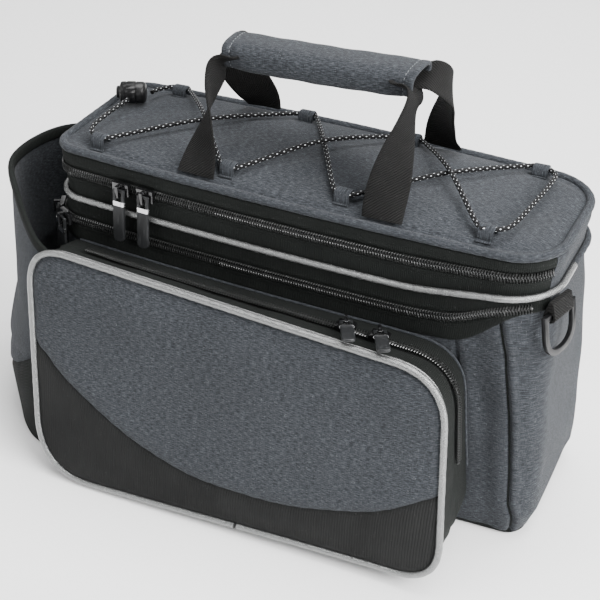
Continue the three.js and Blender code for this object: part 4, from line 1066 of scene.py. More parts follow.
def gusset_row(t, offset):
    """The gusset's outline a share t of the way from the body to the pocket's front."""
    moved = offset_outline(pocket_ring, offset)
    x, z = moved[:, 0], moved[:, 1]
    back_x = POCKET_X + (x - POCKET_X) * 0.985
    back_z = np.minimum(POCKET_BACK_TOP + offset, POCKET_Z + (z - POCKET_Z) * 0.965)
    front_place = np.stack([x, pocket_front(pocket_ring[:, 0], pocket_ring[:, 1]), z], axis=-1)
    back_place = np.stack([back_x, front_skin(back_x, back_z) - GAP, back_z], axis=-1)
    place = mix(back_place, front_place, t)
    place[:, 0] = POCKET_X + (place[:, 0] - POCKET_X) * (1 + 0.012 * math.sin(math.pi * t))
    return place


GUSSET_DEEP, GUSSET_WELT = 55.0, ((6, 1.1, 0.3),)
gusset_shares = np.linspace(0, 1, 46)
gusset_outer = np.stack([gusset_row(t, 0.0) for t in gusset_shares])
gusset_inner = np.stack([gusset_row(t, -POCKET_WALL) for t in gusset_shares])
gusset_out = unit(gusset_outer - gusset_inner)
ring_run = run_length(pocket_ring)
away = np.abs(gusset_shares - 0.5)[:, None] * GUSSET_DEEP
channel = -0.8 * zip_channel(away) + bells(away, GUSSET_WELT)
edges = -0.8 * (bell(gusset_shares, 0.03) + bell(1 - gusset_shares, 0.03))[:, None]
free = np.sin(gusset_shares * math.pi)[:, None]
slack = 0.5 * np.sin(ring_run * 0.06)[None] * free + 0.25 * np.sin(ring_run * 0.17 + 2)[None] * free ** 2
gusset_outer = gusset_outer + gusset_out * (channel + edges + slack)[..., None]
gusset = lofted("pocket_side_cloth", rolled_wall(gusset_outer, gusset_inner), ring=True)
settle(gusset, "pocket_gusset")
print("gusset:", len(gusset.data.polygons), "faces")

# %% [markdown]
# The face is sewn from two cloths over thin padding. Both are cut from one flat outline along the same
# seam, then lifted by the same formula, so they meet exactly and pucker together.

# %% The pocket's two cloths
seam_line = curve_through([pocket_point(a, u) for a, u in SEAM], 40)


def crossing(part):
    """Where a side of the outline crosses the seam: the seam's height less the side's own changes sign."""
    difference = part[:, 1] - np.interp(part[:, 0], seam_line[:, 0], seam_line[:, 1])
    k = int(np.argmax(np.abs(np.diff(np.sign(difference))) > 0))
    t = difference[k] / (difference[k] - difference[k + 1])
    return k, mix(part[k], part[k + 1], t)


def run_between(start, stop):
    """The outline's points from one index to another, going round if needed."""
    return np.vstack([pocket_ring, pocket_ring])[start:stop + 1]


top_right, top_left, low_left, low_right = corner_middles
left_side = run_between(top_left, low_left)
right_side = run_between(low_right, top_right + len(pocket_ring))
left_k, left_cross = crossing(left_side)
right_k, right_cross = crossing(right_side)
between = (seam_line[:, 0] > left_cross[0]) & (seam_line[:, 0] < right_cross[0])
seam_cut = np.vstack([left_cross, seam_line[between], right_cross])
print("seam from", np.round(left_cross), "to", np.round(right_cross))


def patch(low, high, left, right, columns, rows):
    """A patch stretched between four edges: the mean of the two opposite blends less the blend of the four
    corners, which is a Coons patch."""
    low, high = resample(low, columns), resample(high, columns)
    left, right = resample(left, rows), resample(right, rows)
    u = np.linspace(0, 1, columns)[None, :, None]
    v = np.linspace(0, 1, rows)[:, None, None]
    corners = mix(mix(low[0], low[-1], u), mix(high[0], high[-1], u), v)
    return mix(low[None], high[None], v) + mix(left[:, None], right[:, None], u) - corners


def distance_to(points, line):
    """The distance from each point to the nearest point of a dense line."""
    dense = resample(line, 500)
    flat = points.reshape(-1, 2)
    parts = np.array_split(flat, 16)
    nearest = [np.linalg.norm(part[:, None] - dense[None], axis=-1).min(axis=1) for part in parts]
    return np.concatenate(nearest).reshape(points.shape[:2])


EDGE_RELIEF = ((0, 2.4, -1.5), (9, 4, -0.3))
PANEL_SEAM_RELIEF = ((0, 1.7, -1.5), (9, 7, 0.6))
TOP_STITCH = ((3.2, 0.5, -0.3),)


def panel_face(flat, side_of_seam):
    """The padded front's outer and inner faces: a crown of one minus the fourth power of the distance
    from the middle, bell curves at its edges and seam, soft dents and small puckers square to the
    edges."""
    to_edge = distance_to(flat, np.vstack([pocket_ring, pocket_ring[:1]]))
    to_seam = distance_to(flat, seam_cut)
    x, z = flat[..., 0], flat[..., 1]
    crown = PANEL_CROWN * (1 - (1 - np.minimum(1, to_edge / 80)) ** 4)
    sewn = bells(to_edge, EDGE_RELIEF) + bells(to_seam, PANEL_SEAM_RELIEF)
    stitch = bells(to_seam, TOP_STITCH) * (side_of_seam < 0)
    puckers = 0.16 * np.sin((x + z) * 0.55) * np.exp(-to_edge / 6)
    puckers += 0.16 * np.sin(x * 0.5 + 1) * np.exp(-to_seam / 6)
    soft = 0.55 * np.sin(x * 0.037 + z * 0.02 + 1) * np.sin(z * 0.05 + 0.4)
    soft = (soft + 0.25 * np.sin(x * 0.09 - z * 0.06)) * smooth(to_edge / 25)
    swell = crown + sewn + stitch + puckers + soft
    base = pocket_front(x, z) - GAP
    front_y = base - PANEL_THICK - swell
    back_y = base - np.maximum(0, swell - 0.4)
    return np.stack([x, front_y, z], axis=-1), np.stack([x, back_y, z], axis=-1)


seam_low, seam_high = seam_cut + [0, -0.15], seam_cut + [0, 0.15]
upper_flat = patch(seam_high, run_between(top_right, top_left)[::-1],
                   np.vstack([left_cross, left_side[:left_k + 1][::-1]]),
                   np.vstack([right_cross, right_side[right_k + 1:]]), 220, 84)
lower_flat = patch(run_between(low_left, low_right), seam_low,
                   np.vstack([left_side[left_k + 1:][::-1], left_cross]),
                   np.vstack([right_side[:right_k + 1], right_cross]), 220, 64)
PANELS = (("pocket_upper_cloth", "pocket_panel_upper", upper_flat, "heather_cloth", 1),
          ("pocket_lower_cloth", "pocket_panel_lower", lower_flat, "black_cloth", -1))
for name, node, flat, slot, sign in PANELS:
    face, back = panel_face(flat, sign)
    cloth = lofted(name, rolled_wall(face, back), flat_map=(0, 2))
    settle(cloth, node)
    print(name, len(cloth.data.polygons), "faces")

# %% [markdown]
# Piping is a cord wrapped in cloth and caught in a seam. A tube along the outline is enough for it,
# because it is only a few millimetres thick. Its radius varies a little where the cloth gathers.

# %% The pocket's piping
joint = low_left + int((low_right - low_left) * 0.5)
around = np.roll(offset_outline(pocket_ring, POCKET_PIPING + GAP - 0.5), -joint, axis=0)
level = np.roll(pocket_ring, -joint, axis=0)
pocket_piping_line = np.stack([around[:, 0], pocket_front(level[:, 0], level[:, 1]) - GAP - PANEL_THICK / 2,
                               around[:, 1]], axis=-1)
piping_radius = gathered(pocket_piping_line, POCKET_PIPING)
pocket_piping_tube = tube_grid(pocket_piping_line, piping_radius, 14, first_side=(0, 1, 0))
pocket_piping = lofted("pocket_silver_piping", pocket_piping_tube)
settle(pocket_piping, "pocket_piping")
print("pocket piping:", round(run_length(pocket_piping_line)[-1]), "mm")

# %% [markdown]
# Behind the piping a second, thinner reflective line shows, and where the gusset meets the body a plain
# rolled edge. Both are thin tubes, one along the pocket's outline and one along a row of the gusset.

# %% The pocket's flange and back edge
flange_ring = offset_outline(pocket_ring, 0.9)
flange_order = np.arange(corner_middles[0] - 30, corner_middles[1] + 12) % len(pocket_ring)
flange_line = np.stack([flange_ring[:, 0], pocket_front(pocket_ring[:, 0], pocket_ring[:, 1]) + 3.4,
                        flange_ring[:, 1]], axis=-1)[flange_order]
flange_tube = tube_grid(flange_line, gathered(flange_line, 1.15), 10, first_side=(0, 1, 0))
flange = lofted("pocket_inner_piping", flange_tube)
settle(flange)
edge_order = np.arange(corner_middles[3] + 24, corner_middles[1] + len(pocket_ring)) % len(pocket_ring)
back_edge_line = gusset_row(0.035, 0.5)[edge_order]
back_edge_tube = tube_grid(back_edge_line, gathered(back_edge_line, 0.95), 8, first_side=(0, 1, 0))
back_edge = lofted("pocket_back_edge", back_edge_tube)
settle(back_edge)
print("flange:", round(run_length(flange_line)[-1]), "mm")
print("back edge:", round(run_length(back_edge_line)[-1]), "mm")

# %% [markdown]
# The pocket's coil runs over the top and a little way down one side. It is the lid's coil once more, laid
# on the gusset's middle row.

# %% The pocket's zip
COIL_RAISED = 1.3
zip_middle = gusset_row(0.5, COIL_RAISED)
zip_before, zip_after = gusset_row(0.44, COIL_RAISED), gusset_row(0.56, COIL_RAISED)
zip_in = gusset_row(0.5, -2.0)
PAST_CORNER, DOWN_SIDE = 11, 30
order = np.arange(top_right - PAST_CORNER - DOWN_SIDE, top_left - PAST_CORNER) % len(pocket_ring)
pocket_zip = coil_chain("pocket_coil", zip_middle[order], unit(zip_middle - zip_in)[order],
                        unit(zip_after - zip_before)[order])
settle(pocket_zip, "pocket_zipper")
print("pocket coil:", len(pocket_zip.data.polygons), "faces")

# %% [markdown]
# ## The open bottle pocket
#
# A cup of cloth wraps round the left end, from the front pocket's side seam to the back corner. Its mouth
# slants and is bound in black. It stands away from the body, so its plan is a smooth line through seven
# places that shift with height. A gathered seam joins its black foot to its grey wall.

# %% The bottle pocket's stations
BOTTLE_ROWS = np.array([
    # x and y at the floor, x and y at the rim, then the shares of the height for rim and seam
    (-0.34, -2.05, -0.17, -1.5, 0.8, 0.48),
    (0.12, -1.93, 0.12, -1.42, 0.87, 0.35),
    (0.62, -1.4, 0.58, -1.1, 0.97, 0.22),
    (0.95, -0.68, 0.97, -0.6, 1.0, 0.16),
    (1.0, 0.1, 1.0, 0.12, 1.0, 0.15),
    (0.72, 0.66, 0.72, 0.66, 0.99, 0.15),
    (0.13, 0.88, 0.1, 0.86, 0.98, 0.15),
])
BOTTLE_LEVELS, BOTTLE_STEPS = 40, 18
pocket_side_row = gusset_row(0.8, 0.0)
pocket_side_row = pocket_side_row[pocket_side_row[:, 0] < POCKET_X - POCKET_WIDE * 0.3]
pocket_side_row = pocket_side_row[np.argsort(pocket_side_row[:, 2])]


def bottle_places(z, offset):
    """The pocket's plan at one height: its stations mixed by height, a smooth line through them, moved
    outwards by offset along the line's own normals."""
    up = min(1.0, z / BOTTLE_RIM)
    x = -HALF_LENGTH - BOTTLE_REACH * mix(BOTTLE_ROWS[:, 0], BOTTLE_ROWS[:, 2], up)
    y = HALF_WIDTH * mix(BOTTLE_ROWS[:, 1], BOTTLE_ROWS[:, 3], up)
    edge_height = min(max(z, POCKET_HIGH * 0.12), POCKET_HIGH * 0.8)
    x[0] = np.interp(edge_height, pocket_side_row[:, 2], pocket_side_row[:, 0]) - 8 * GAP
    y[0] = pocket_front(x[0], z) + 20
    x[-1] = end_skin(y[-1] - 2 * BOTTLE_WALL, max(z, 0.2 * BODY_HEIGHT)) - 6 * GAP
    line = curve_through(np.stack([x, y], axis=-1), BOTTLE_STEPS)
    along = unit(np.gradient(line, axis=0))
    return (line + offset * np.stack([along[:, 1], -along[:, 0]], axis=-1))[::-1]


def bottle_surface(heights, offset):
    """Points for a grid of heights, one height per row and place: each place is read from plans made at
    BOTTLE_LEVELS heights and mixed between the two nearest."""
    levels, last = np.linspace(0, BOTTLE_RIM + 8, BOTTLE_LEVELS), BOTTLE_LEVELS - 1
    plans = np.stack([bottle_places(z, offset) for z in levels])
    at = np.clip(heights / levels[-1] * last, 0, last - 0.001)
    low = np.floor(at).astype(int)
    column = np.broadcast_to(np.arange(heights.shape[1])[None], heights.shape)
    plan = mix(plans[low, column], plans[low + 1, column], (at - low)[..., None])
    return np.concatenate([plan, heights[..., None]], axis=-1)


def along_bottle(column):
    """One column of the stations' table, smooth along the pocket, as a height."""
    rows = np.stack([np.arange(len(BOTTLE_ROWS)), BOTTLE_ROWS[:, column]], axis=-1).astype(float)
    return curve_through(rows, BOTTLE_STEPS)[::-1, 1] * BOTTLE_RIM


bottle_rim, bottle_seam = along_bottle(4), along_bottle(5)
BELLY_DEEP, BELLY_AT, BELLY_TALL, RIM_RAISED = 10.5, 50.0, 44.0, 3.0
print("bottle pocket's rim from", round(bottle_rim.min()), "to", round(bottle_rim.max()), "mm")


def bottle_wall(low, high, rows, dented):
    """An outer and an inner grid between two height lines. The outer one has soft folds: broad swells, a
    gather of short ripples above the seam and a sag under the rim."""
    t = np.linspace(0, 1, rows)[:, None]
    heights = mix(low[None], high[None], t)
    outer, inner = bottle_surface(heights, 0.0), bottle_surface(heights, BOTTLE_WALL)
    out = unit(outer - inner)
    s = np.linspace(0, 1, heights.shape[1])[None]
    free = np.sin(math.pi * s) ** 0.7
    above = heights - bottle_seam[None]
    swell = 1.1 * np.sin(s * 9 + heights * 0.03) * np.sin(heights * 0.035 + 1) * free
    gather = 0.35 * np.sin(s * 95 + np.sin(s * 23)) * np.exp(-np.abs(above) / 9)
    seam = -1.3 * bell(above, 2.0)
    fold = -1.6 * bell(heights - 62 - 60 * (s - 0.75), 6) * smooth((s - 0.45) / 0.2)
    fold = fold - 1.2 * bell(heights - 118 + 30 * s, 8) * np.sin(math.pi * s) ** 2
    belly = BELLY_DEEP * bell(heights - BELLY_AT, BELLY_TALL) * np.sin(math.pi * s) ** 1.2
    shift = (swell + fold) * dented + gather * free + seam + belly
    return outer + out * shift[..., None], inner + out * (np.minimum(shift, 0.4 + belly) * 0.9)[..., None]


count = len(bottle_seam)
upper_wall = bottle_wall(bottle_seam + 0.15, bottle_rim + RIM_RAISED, 76, 1.0)
upper = lofted("bottle_pocket_wall", rolled_wall(*upper_wall))
settle(upper, "bottle_pocket_upper")
foot_outer, foot_inner = bottle_wall(np.full(count, BOTTLE_FLOOR), bottle_seam - 0.15, 40, 0.5)
foot = lofted("bottle_pocket_foot", rolled_wall(foot_outer, foot_inner))
settle(foot, "bottle_pocket_lower")
print("bottle pocket:", len(upper.data.polygons) + len(foot.data.polygons), "faces")

# %% [markdown]
# The floor closes the pocket where a bottle would stand. The binding is a tape folded over the raw rim: a
# flattened tube along the rim says that with few faces.

# %% The bottle pocket's floor and binding
floor_edge = bottle_places(BOTTLE_FLOOR, BOTTLE_WALL / 2)
edge_y = np.clip(floor_edge[:, 1], -HALF_WIDTH * 0.74, HALF_WIDTH * 0.74)
body_edge = np.stack([end_skin(edge_y, np.full_like(edge_y, 0.2 * BODY_HEIGHT)) - 4 * GAP, edge_y], axis=-1)
body_edge[:, 1] = mix(edge_y, np.minimum(floor_edge[:, 1], HALF_WIDTH * 0.74), 0.3)
floor_share = np.linspace(0, 1, 14)[:, None, None]
floor_plan = mix(floor_edge[None], body_edge[None], floor_share)
floor_height = np.full(floor_plan.shape[:2] + (1,), BOTTLE_FLOOR + BOTTLE_WALL)
floor_top = np.concatenate([floor_plan, floor_height], axis=-1)
floor_low = floor_top - [0, 0, BOTTLE_WALL]
bottle_floor = lofted("bottle_pocket_floor", rolled_wall(floor_top, floor_low))
settle(bottle_floor)

BINDING_HALF, BINDING_TALL, BINDING_SUNK = 2.3, 4.6, 0.6
binding_line = bottle_surface((bottle_rim + RIM_RAISED)[None], BOTTLE_WALL / 2)[0]
binding_out = unit(bottle_surface((bottle_rim + RIM_RAISED)[None], 0.0)[0] - binding_line)
turn = np.linspace(0, 2 * math.pi, 20, endpoint=False)[:, None, None]
across, tall = rounder(np.cos(turn), 0.8) * BINDING_HALF, rounder(np.sin(turn), 0.6) * BINDING_TALL
binding_grid = binding_line[None] + binding_out[None] * across
binding_grid = binding_grid + np.array([0, 0, 1.0]) * (tall - BINDING_SUNK)
binding = lofted("bottle_pocket_edge", binding_grid[:, 1:-1])
settle(binding, "bottle_pocket_binding")
print("binding:", round(run_length(binding_line)[-1]), "mm")

# %% [markdown]
# ## Hard pieces
#
# The sliders, the pull tabs, the D-ring and its tab keep the frame's own shapes, because they are right.
# Their edges are too sharp, though: nothing moulded is. Each one is copied, its loose triangles are merged,
# flat areas are dissolved back to single faces and a Bevel modifier rounds the rest.

# %% Rounding the hard pieces
def softened(name, node, body, width, segments, angle):
    """A copy of a frame node with merged points, dissolved flats and rounded edges."""
    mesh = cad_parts[node].data.copy()
    mesh.name = name
    cleaner = bmesh.new()
    cleaner.from_mesh(mesh)
    bmesh.ops.remove_doubles(cleaner, verts=cleaner.verts, dist=1e-5)
    bmesh.ops.dissolve_limit(cleaner, angle_limit=math.radians(2), verts=cleaner.verts, edges=cleaner.edges)
    cleaner.to_mesh(mesh)
    cleaner.free()
    mesh.polygons.foreach_set("use_smooth", np.ones(len(mesh.polygons), dtype=bool))
    corners = np.empty(len(mesh.loops), dtype=np.int32)
    mesh.loops.foreach_get("vertex_index", corners)
    places = np.empty(len(mesh.vertices) * 3, dtype=np.float32)
    mesh.vertices.foreach_get("co", places)
    layer = mesh.uv_layers.new(name="cloth")
    layer.data.foreach_set("uv", places.reshape(-1, 3)[corners][:, 1:].ravel())
    obj = bpy.data.objects.new(name, mesh)
    bpy.context.scene.collection.objects.link(obj)
    bevel = obj.modifiers.new("rounded edges", "BEVEL")
    bevel.width = width * 0.001
    bevel.segments = segments
    bevel.limit_method = "ANGLE"
    bevel.angle_limit = math.radians(angle)
    bevel.harden_normals = True
    settle(obj, node, body)
    return obj


tabs, sliders = [], []
for place in ("lid_left", "lid_right", "expansion_left", "expansion_right", "pocket_left", "pocket_right"):
    tabs.append(softened(f"tab_{place}", f"pull_{place}", f"pull_{place}", 0.85, 4, 40))
    sliders.append(softened(f"runner_{place}", f"slider_{place}", "bag", 0.7, 3, 40))
softened("hanging_ring", "d_ring", "d_ring", 0.7, 4, 50)
softened("ring_loop", "ring_tab", "bag", 0.45, 3, 50)
print("hard pieces:", len(tabs) + len(sliders) + 2)

# %% [markdown]
# Each rubber tab is moulded over a small bright clip, which shows as a bar across its upper part. The
# clip's place comes from the tab's own points: their longest direction is its length and their shortest its
# thickness.

# %% The tabs' clips
def tab_axes(tab, runner):
    """The tab's middle and its length, width and thickness directions, the first away from its runner."""
    places = []
    for obj in (tab, runner):
        flat = np.empty(len(obj.data.vertices) * 3, dtype=np.float32)
        obj.data.vertices.foreach_get("co", flat)
        places.append(flat.reshape(-1, 3).astype(float) * 1000)
    centred = places[0] - places[0].mean(0)
    _, _, axes = np.linalg.svd(centred, full_matrices=False)
    reach = centred @ axes.T
    middle = places[0].mean(0) + ((reach.max(0) + reach.min(0)) / 2) @ axes
    if (middle - places[1].mean(0)) @ axes[0] < 0:
        axes[0] = -axes[0]
    return middle, axes, reach.max(0) - reach.min(0)


CLIP_FROM_TOP, CLIP_LONG, CLIP_PROUD = 8.8, 3.4, 1.0
clips = []
for tab, runner in zip(tabs, sliders):
    middle, (length_way, width_way, _), size = tab_axes(tab, runner)
    start = middle - length_way * (size[0] / 2 - CLIP_FROM_TOP)
    path = start + np.linspace(0, CLIP_LONG, 8)[:, None] * length_way
    ways = np.broadcast_to(width_way, path.shape)
    clip = lofted(tab.name.replace("tab", "clip"),
                  band_grid(path, ways, size[1] + CLIP_PROUD, size[2] + CLIP_PROUD, 1.2, 16))
    settle(clip, body=tab.name.replace("tab", "pull"))
    clips.append(clip)
print("clips:", len(clips))

# %% [markdown]
# The cord lock is a moulded barrel with a push button. Such a thing is turned on a lathe in the drawing, so
# its profile of radii is spun round its own axis. A Screw modifier could spin it, but the formula needs no
# cleaning.

# %% The cord lock
LOCK_PLACE, LOCK_TURN, LOCK_RADIUS = (-163.0, 16.0), 0.42, 8.0
lock_axis = np.array([math.cos(LOCK_TURN), math.sin(LOCK_TURN), 0.0])
lock_side = np.array([-math.sin(LOCK_TURN), math.cos(LOCK_TURN), 0.0])
LOCK_REST_HEIGHT = 234.4
lock_centre = np.array([*LOCK_PLACE, LOCK_REST_HEIGHT + LOCK_RADIUS])
LOCK_PROFILE = np.array([
    # place along the lock, radius
    (-11.0, 0.05), (-11.0, 3.6), (-10.7, 4.4), (-9.6, 4.7), (-8.2, 4.7), (-8.0, 4.9), (-8.0, 6.6),
    (-7.7, 7.4), (-6.8, 7.9), (-4.2, 8.0), (-3.9, 7.6), (-3.4, 7.6), (-3.1, 8.0), (3.0, 8.0), (3.3, 7.6),
    (3.8, 7.6), (4.1, 8.0), (8.6, 7.9), (10.0, 7.3), (10.8, 6.0), (11.0, 4.2), (11.0, 0.05),
])
spin = np.linspace(0, 2 * math.pi, 56, endpoint=False)[:, None, None]
GRIP_RIBS, GRIP_DEEP, GRIP_HALF = 14, 0.02, 3.2
along_lock, lock_radii = LOCK_PROFILE[None, :, :1], LOCK_PROFILE[None, :, 1:]
grip = 1 + GRIP_DEEP * np.sign(np.sin(spin * GRIP_RIBS)) * (np.abs(along_lock) < GRIP_HALF)
lock_grid = lock_centre + along_lock * lock_axis + lock_radii * grip * (
    np.cos(spin) * lock_side + np.sin(spin) * np.array([0.0, 0.0, 1.0]))
cord_lock = lofted("lock_barrel", lock_grid)
settle(cord_lock, "cord_lock")
print("cord lock:", len(cord_lock.data.polygons), "faces")

# %% [markdown]
# ## Finishes
#
# Each of the five effects is a node group: woven threads, ribs, stretched flecks, the tone of used cloth and
# moulded grain. They put out only values and masks. Each material mixes its own colours from them and keeps
# its own shader. Image textures would repeat and need files.

# %% Node helpers
class Maker:
    """Places nodes in a tree and joins them, so that a formula reads almost as it is written."""

    def __init__(self, tree):
        self.tree = tree

    def node(self, kind, **settings):
        """A node with its settings."""
        made = self.tree.nodes.new(kind)
        for key, value in settings.items():
            setattr(made, key, value)
        return made

    def put(self, socket, value):
        """A value or another socket into a socket."""
        if isinstance(value, bpy.types.NodeSocket):
            self.tree.links.new(value, socket)
        else:
            socket.default_value = value

    def math(self, operation, a, b=0.0, c=0.0):
        """One math node's result."""
        made = self.node("ShaderNodeMath", operation=operation)
        for socket, value in zip(made.inputs, (a, b, c)):
            self.put(socket, value)
        return made.outputs[0]

    def noise(self, place, scale, detail=3.0, rough=0.55):
        """A noise texture's value."""
        made = self.node("ShaderNodeTexNoise")
        self.put(made.inputs["Vector"], place)
        self.put(made.inputs["Scale"], scale)
        self.put(made.inputs["Detail"], detail)
        self.put(made.inputs["Roughness"], rough)
        return made.outputs["Fac"]

    def span(self, value, low, high, to_low=0.0, to_high=1.0):
        """A value's span stretched to another one and clamped."""
        made = self.node("ShaderNodeMapRange")
        for socket, item in zip(made.inputs[:5], (value, low, high, to_low, to_high)):
            self.put(socket, item)
        return made.outputs[0]

    def blend(self, share, a, b, mode="MIX"):
        """Two colours mixed by a share."""
        made = self.node("ShaderNodeMix", data_type="RGBA", blend_type=mode)
        self.put(made.inputs["Factor"], share)
        self.put(made.inputs["A"], a)
        self.put(made.inputs["B"], b)
        return made.outputs["Result"]

    def split(self, place):
        """A place's three numbers."""
        made = self.node("ShaderNodeSeparateXYZ")
        self.put(made.inputs[0], place)
        return made.outputs

    def gather(self, x, y, z=0.0):
        """Three numbers as a place."""
        made = self.node("ShaderNodeCombineXYZ")
        for socket, value in zip(made.inputs, (x, y, z)):
            self.put(socket, value)
        return made.outputs[0]


def effect(name, inputs, outputs):
    """An empty node group with named inputs and outputs, and a maker for it."""
    tree = bpy.data.node_groups.new(name, "ShaderNodeTree")
    for socket, kind, value in inputs:
        made = tree.interface.new_socket(name=socket, in_out="INPUT", socket_type=kind)
        if value is not None:
            made.default_value = value
    for socket, kind in outputs:
        tree.interface.new_socket(name=socket, in_out="OUTPUT", socket_type=kind)
    maker = Maker(tree)
    return tree, maker, maker.node("NodeGroupInput").outputs, maker.node("NodeGroupOutput").inputs


VALUE, PLACE = "NodeSocketFloat", "NodeSocketVector"
print("node helpers ready")

# %% [markdown]
# Where two sets of threads cross, cloth is high and low like a chessboard. The product of two sines says
# that at any distance.

# %% Woven threads
threads, m, given, out = effect("woven threads", [("Place", PLACE, None), ("Pitch", VALUE, 0.0009)],
                                [("Height", VALUE)])
u, v, _ = m.split(given["Place"])
turns_u = m.math("MULTIPLY", m.math("DIVIDE", u, given["Pitch"]), 2 * math.pi)
turns_v = m.math("MULTIPLY", m.math("DIVIDE", v, given["Pitch"]), 2 * math.pi)
crossing_wave = m.math("MULTIPLY", m.math("SINE", turns_u), m.math("SINE", turns_v))
m.put(out["Height"], m.math("MULTIPLY_ADD", crossing_wave, 0.5, 0.5))
print("effect:", threads.name)

# %% [markdown]
# Ribbed cloth and webbing are rows of rounded ridges. The absolute value of a sine gives them, with sharp
# grooves between, and a slant turns the rows for webbing. A second output marks the grooves, where the
# black cloths paint shade into their colour.

# %% Ribs
ribs_effect, m, given, out = effect("ribs", [
    ("Place", PLACE, None), ("Pitch", VALUE, 0.0016), ("Slant", VALUE, 0.0)],
    [("Height", VALUE), ("Groove", VALUE)])
u, v, _ = m.split(given["Place"])
slanted = m.math("MULTIPLY_ADD", v, given["Slant"], u)
half_turns = m.math("MULTIPLY", m.math("DIVIDE", slanted, given["Pitch"]), math.pi)
wave = m.math("ABSOLUTE", m.math("SINE", half_turns))
m.put(out["Height"], m.math("POWER", wave, 0.6))
# The groove mask: where the black cloths paint shade between the ribs.
m.put(out["Groove"], m.span(wave, 0.0, 0.45, 1.0, 0.0))
print("effect:", ribs_effect.name)

# %% [markdown]
# Heather cloth is woven from yarn that changes colour along its length. Noise stretched along the yarn
# gives short streaks, and a second noise, a quarter turn round, adds the other yarns.

# %% Stretched flecks
flecks, m, given, out = effect("stretched flecks", [
    ("Place", PLACE, None), ("Along", VALUE, 250.0), ("Across", VALUE, 1900.0), ("Contrast", VALUE, 0.165)],
    [("Light threads", VALUE), ("Dark threads", VALUE)])
u, v, _ = m.split(given["Place"])
stretched = m.gather(m.math("MULTIPLY", u, given["Along"]), m.math("MULTIPLY", v, given["Across"]), 0.0)
fine = m.noise(stretched, 1.0, 2.0, 0.6)
crosswise = m.gather(m.math("MULTIPLY", u, given["Across"]), m.math("MULTIPLY", v, given["Along"]), 3.0)
fine_across = m.noise(crosswise, 1.0, 1.0, 0.5)
both = m.math("MULTIPLY_ADD", fine_across, 0.2, m.math("MULTIPLY", fine, 0.8))
high_edge = m.math("ADD", 0.5, given["Contrast"])
low_edge = m.math("SUBTRACT", 0.5, given["Contrast"])
m.put(out["Light threads"], m.span(both, 0.5, high_edge))
m.put(out["Dark threads"], m.span(both, low_edge, 0.5, 1.0, 0.0))
print("effect:", flecks.name)

# %% [markdown]
# No cloth is evenly coloured after use. Two slow noises are mixed into one tone, and two more give lint
# and small creases.

# %% The tone of used cloth
tone, m, given, out = effect("cloth tone", [("Place", PLACE, None), ("Lint", VALUE, 0.5)],
                             [("Tone", VALUE), ("Lint", VALUE), ("Creases", VALUE)])
wide_tone = m.noise(given["Place"], 9.0, 2.0, 0.5)
near_tone = m.noise(given["Place"], 46.0, 3.0, 0.6)
both_tones = m.math("MULTIPLY_ADD", near_tone, 0.45, m.math("MULTIPLY", wide_tone, 0.55))
m.put(out["Tone"], m.span(both_tones, 0.32, 0.68))
specks = m.noise(given["Place"], 900.0, 1.0, 0.5)
m.put(out["Lint"], m.math("MULTIPLY", m.span(specks, 0.7, 0.78), given["Lint"]))
m.put(out["Creases"], m.noise(given["Place"], 30.0, 4.0, 0.6))
print("effect:", tone.name)

# %% [markdown]
# Moulded plastic and enamel are not mirrors. Fine noise for the relief and stretched noise for scuffs
# serve all the hard finishes.

# %% Moulded grain
grain, m, given, out = effect("moulded grain", [("Place", PLACE, None), ("Scale", VALUE, 2600.0)],
                              [("Height", VALUE), ("Scuffs", VALUE)])
m.put(out["Height"], m.noise(given["Place"], given["Scale"], 2.0, 0.5))
u, v, w = m.split(given["Place"])
stroke = m.gather(m.math("MULTIPLY", u, 420.0), m.math("MULTIPLY", v, 420.0), m.math("MULTIPLY", w, 60.0))
m.put(out["Scuffs"], m.span(m.noise(stroke, 1.0, 3.0, 0.6), 0.56, 0.72))
print("effect:", grain.name)

# %% [markdown]
# The heather cloth is woven from a light and a dark thread, so it isn't grey but a fine mixture of both.
# Its light threads run mostly across the bag. Black cloths differ by their ribs: fine ones on the panels,
# slanted twill on the webbing, with painted shade in the grooves. A little sheen lightens all cloth where it
# turns away, as its fluff does.

# %% The finish maker
def finish(name, roughness, specular=0.5, **fixed):
    """A material with its shader, whose fixed numbers are set on the shader itself, and a maker for its
    nodes."""
    material = bpy.data.materials.new(name)
    material.use_nodes = True
    maker = Maker(material.node_tree)
    shader = material.node_tree.nodes["Principled BSDF"]
    shader.inputs["Roughness"].default_value = roughness
    shader.inputs["Specular IOR Level"].default_value = specular
    for socket, value in fixed.items():
        shader.inputs[socket.replace("_", " ")].default_value = value
    return material, maker, shader


def use(maker, tree, **values):
    """A group placed in a material with its own values."""
    made = maker.node("ShaderNodeGroup")
    made.node_tree = tree
    for socket, value in values.items():
        maker.put(made.inputs[socket.replace("_", " ")], value)
    return made.outputs


def cloth_map(maker):
    """The piece's own cloth map, in metres."""
    return maker.node("ShaderNodeUVMap", uv_map="cloth").outputs["UV"]


def object_place(maker):
    """Object coordinates, in metres."""
    return maker.node("ShaderNodeTexCoord").outputs["Object"]


def relief(maker, shader, height, distance):
    """A Bump node between a height and the shader's normal."""
    bump = maker.node("ShaderNodeBump")
    bump.inputs["Strength"].default_value = 1.0
    bump.inputs["Distance"].default_value = distance
    maker.put(bump.inputs["Height"], height)
    maker.put(shader.inputs["Normal"], bump.outputs["Normal"])


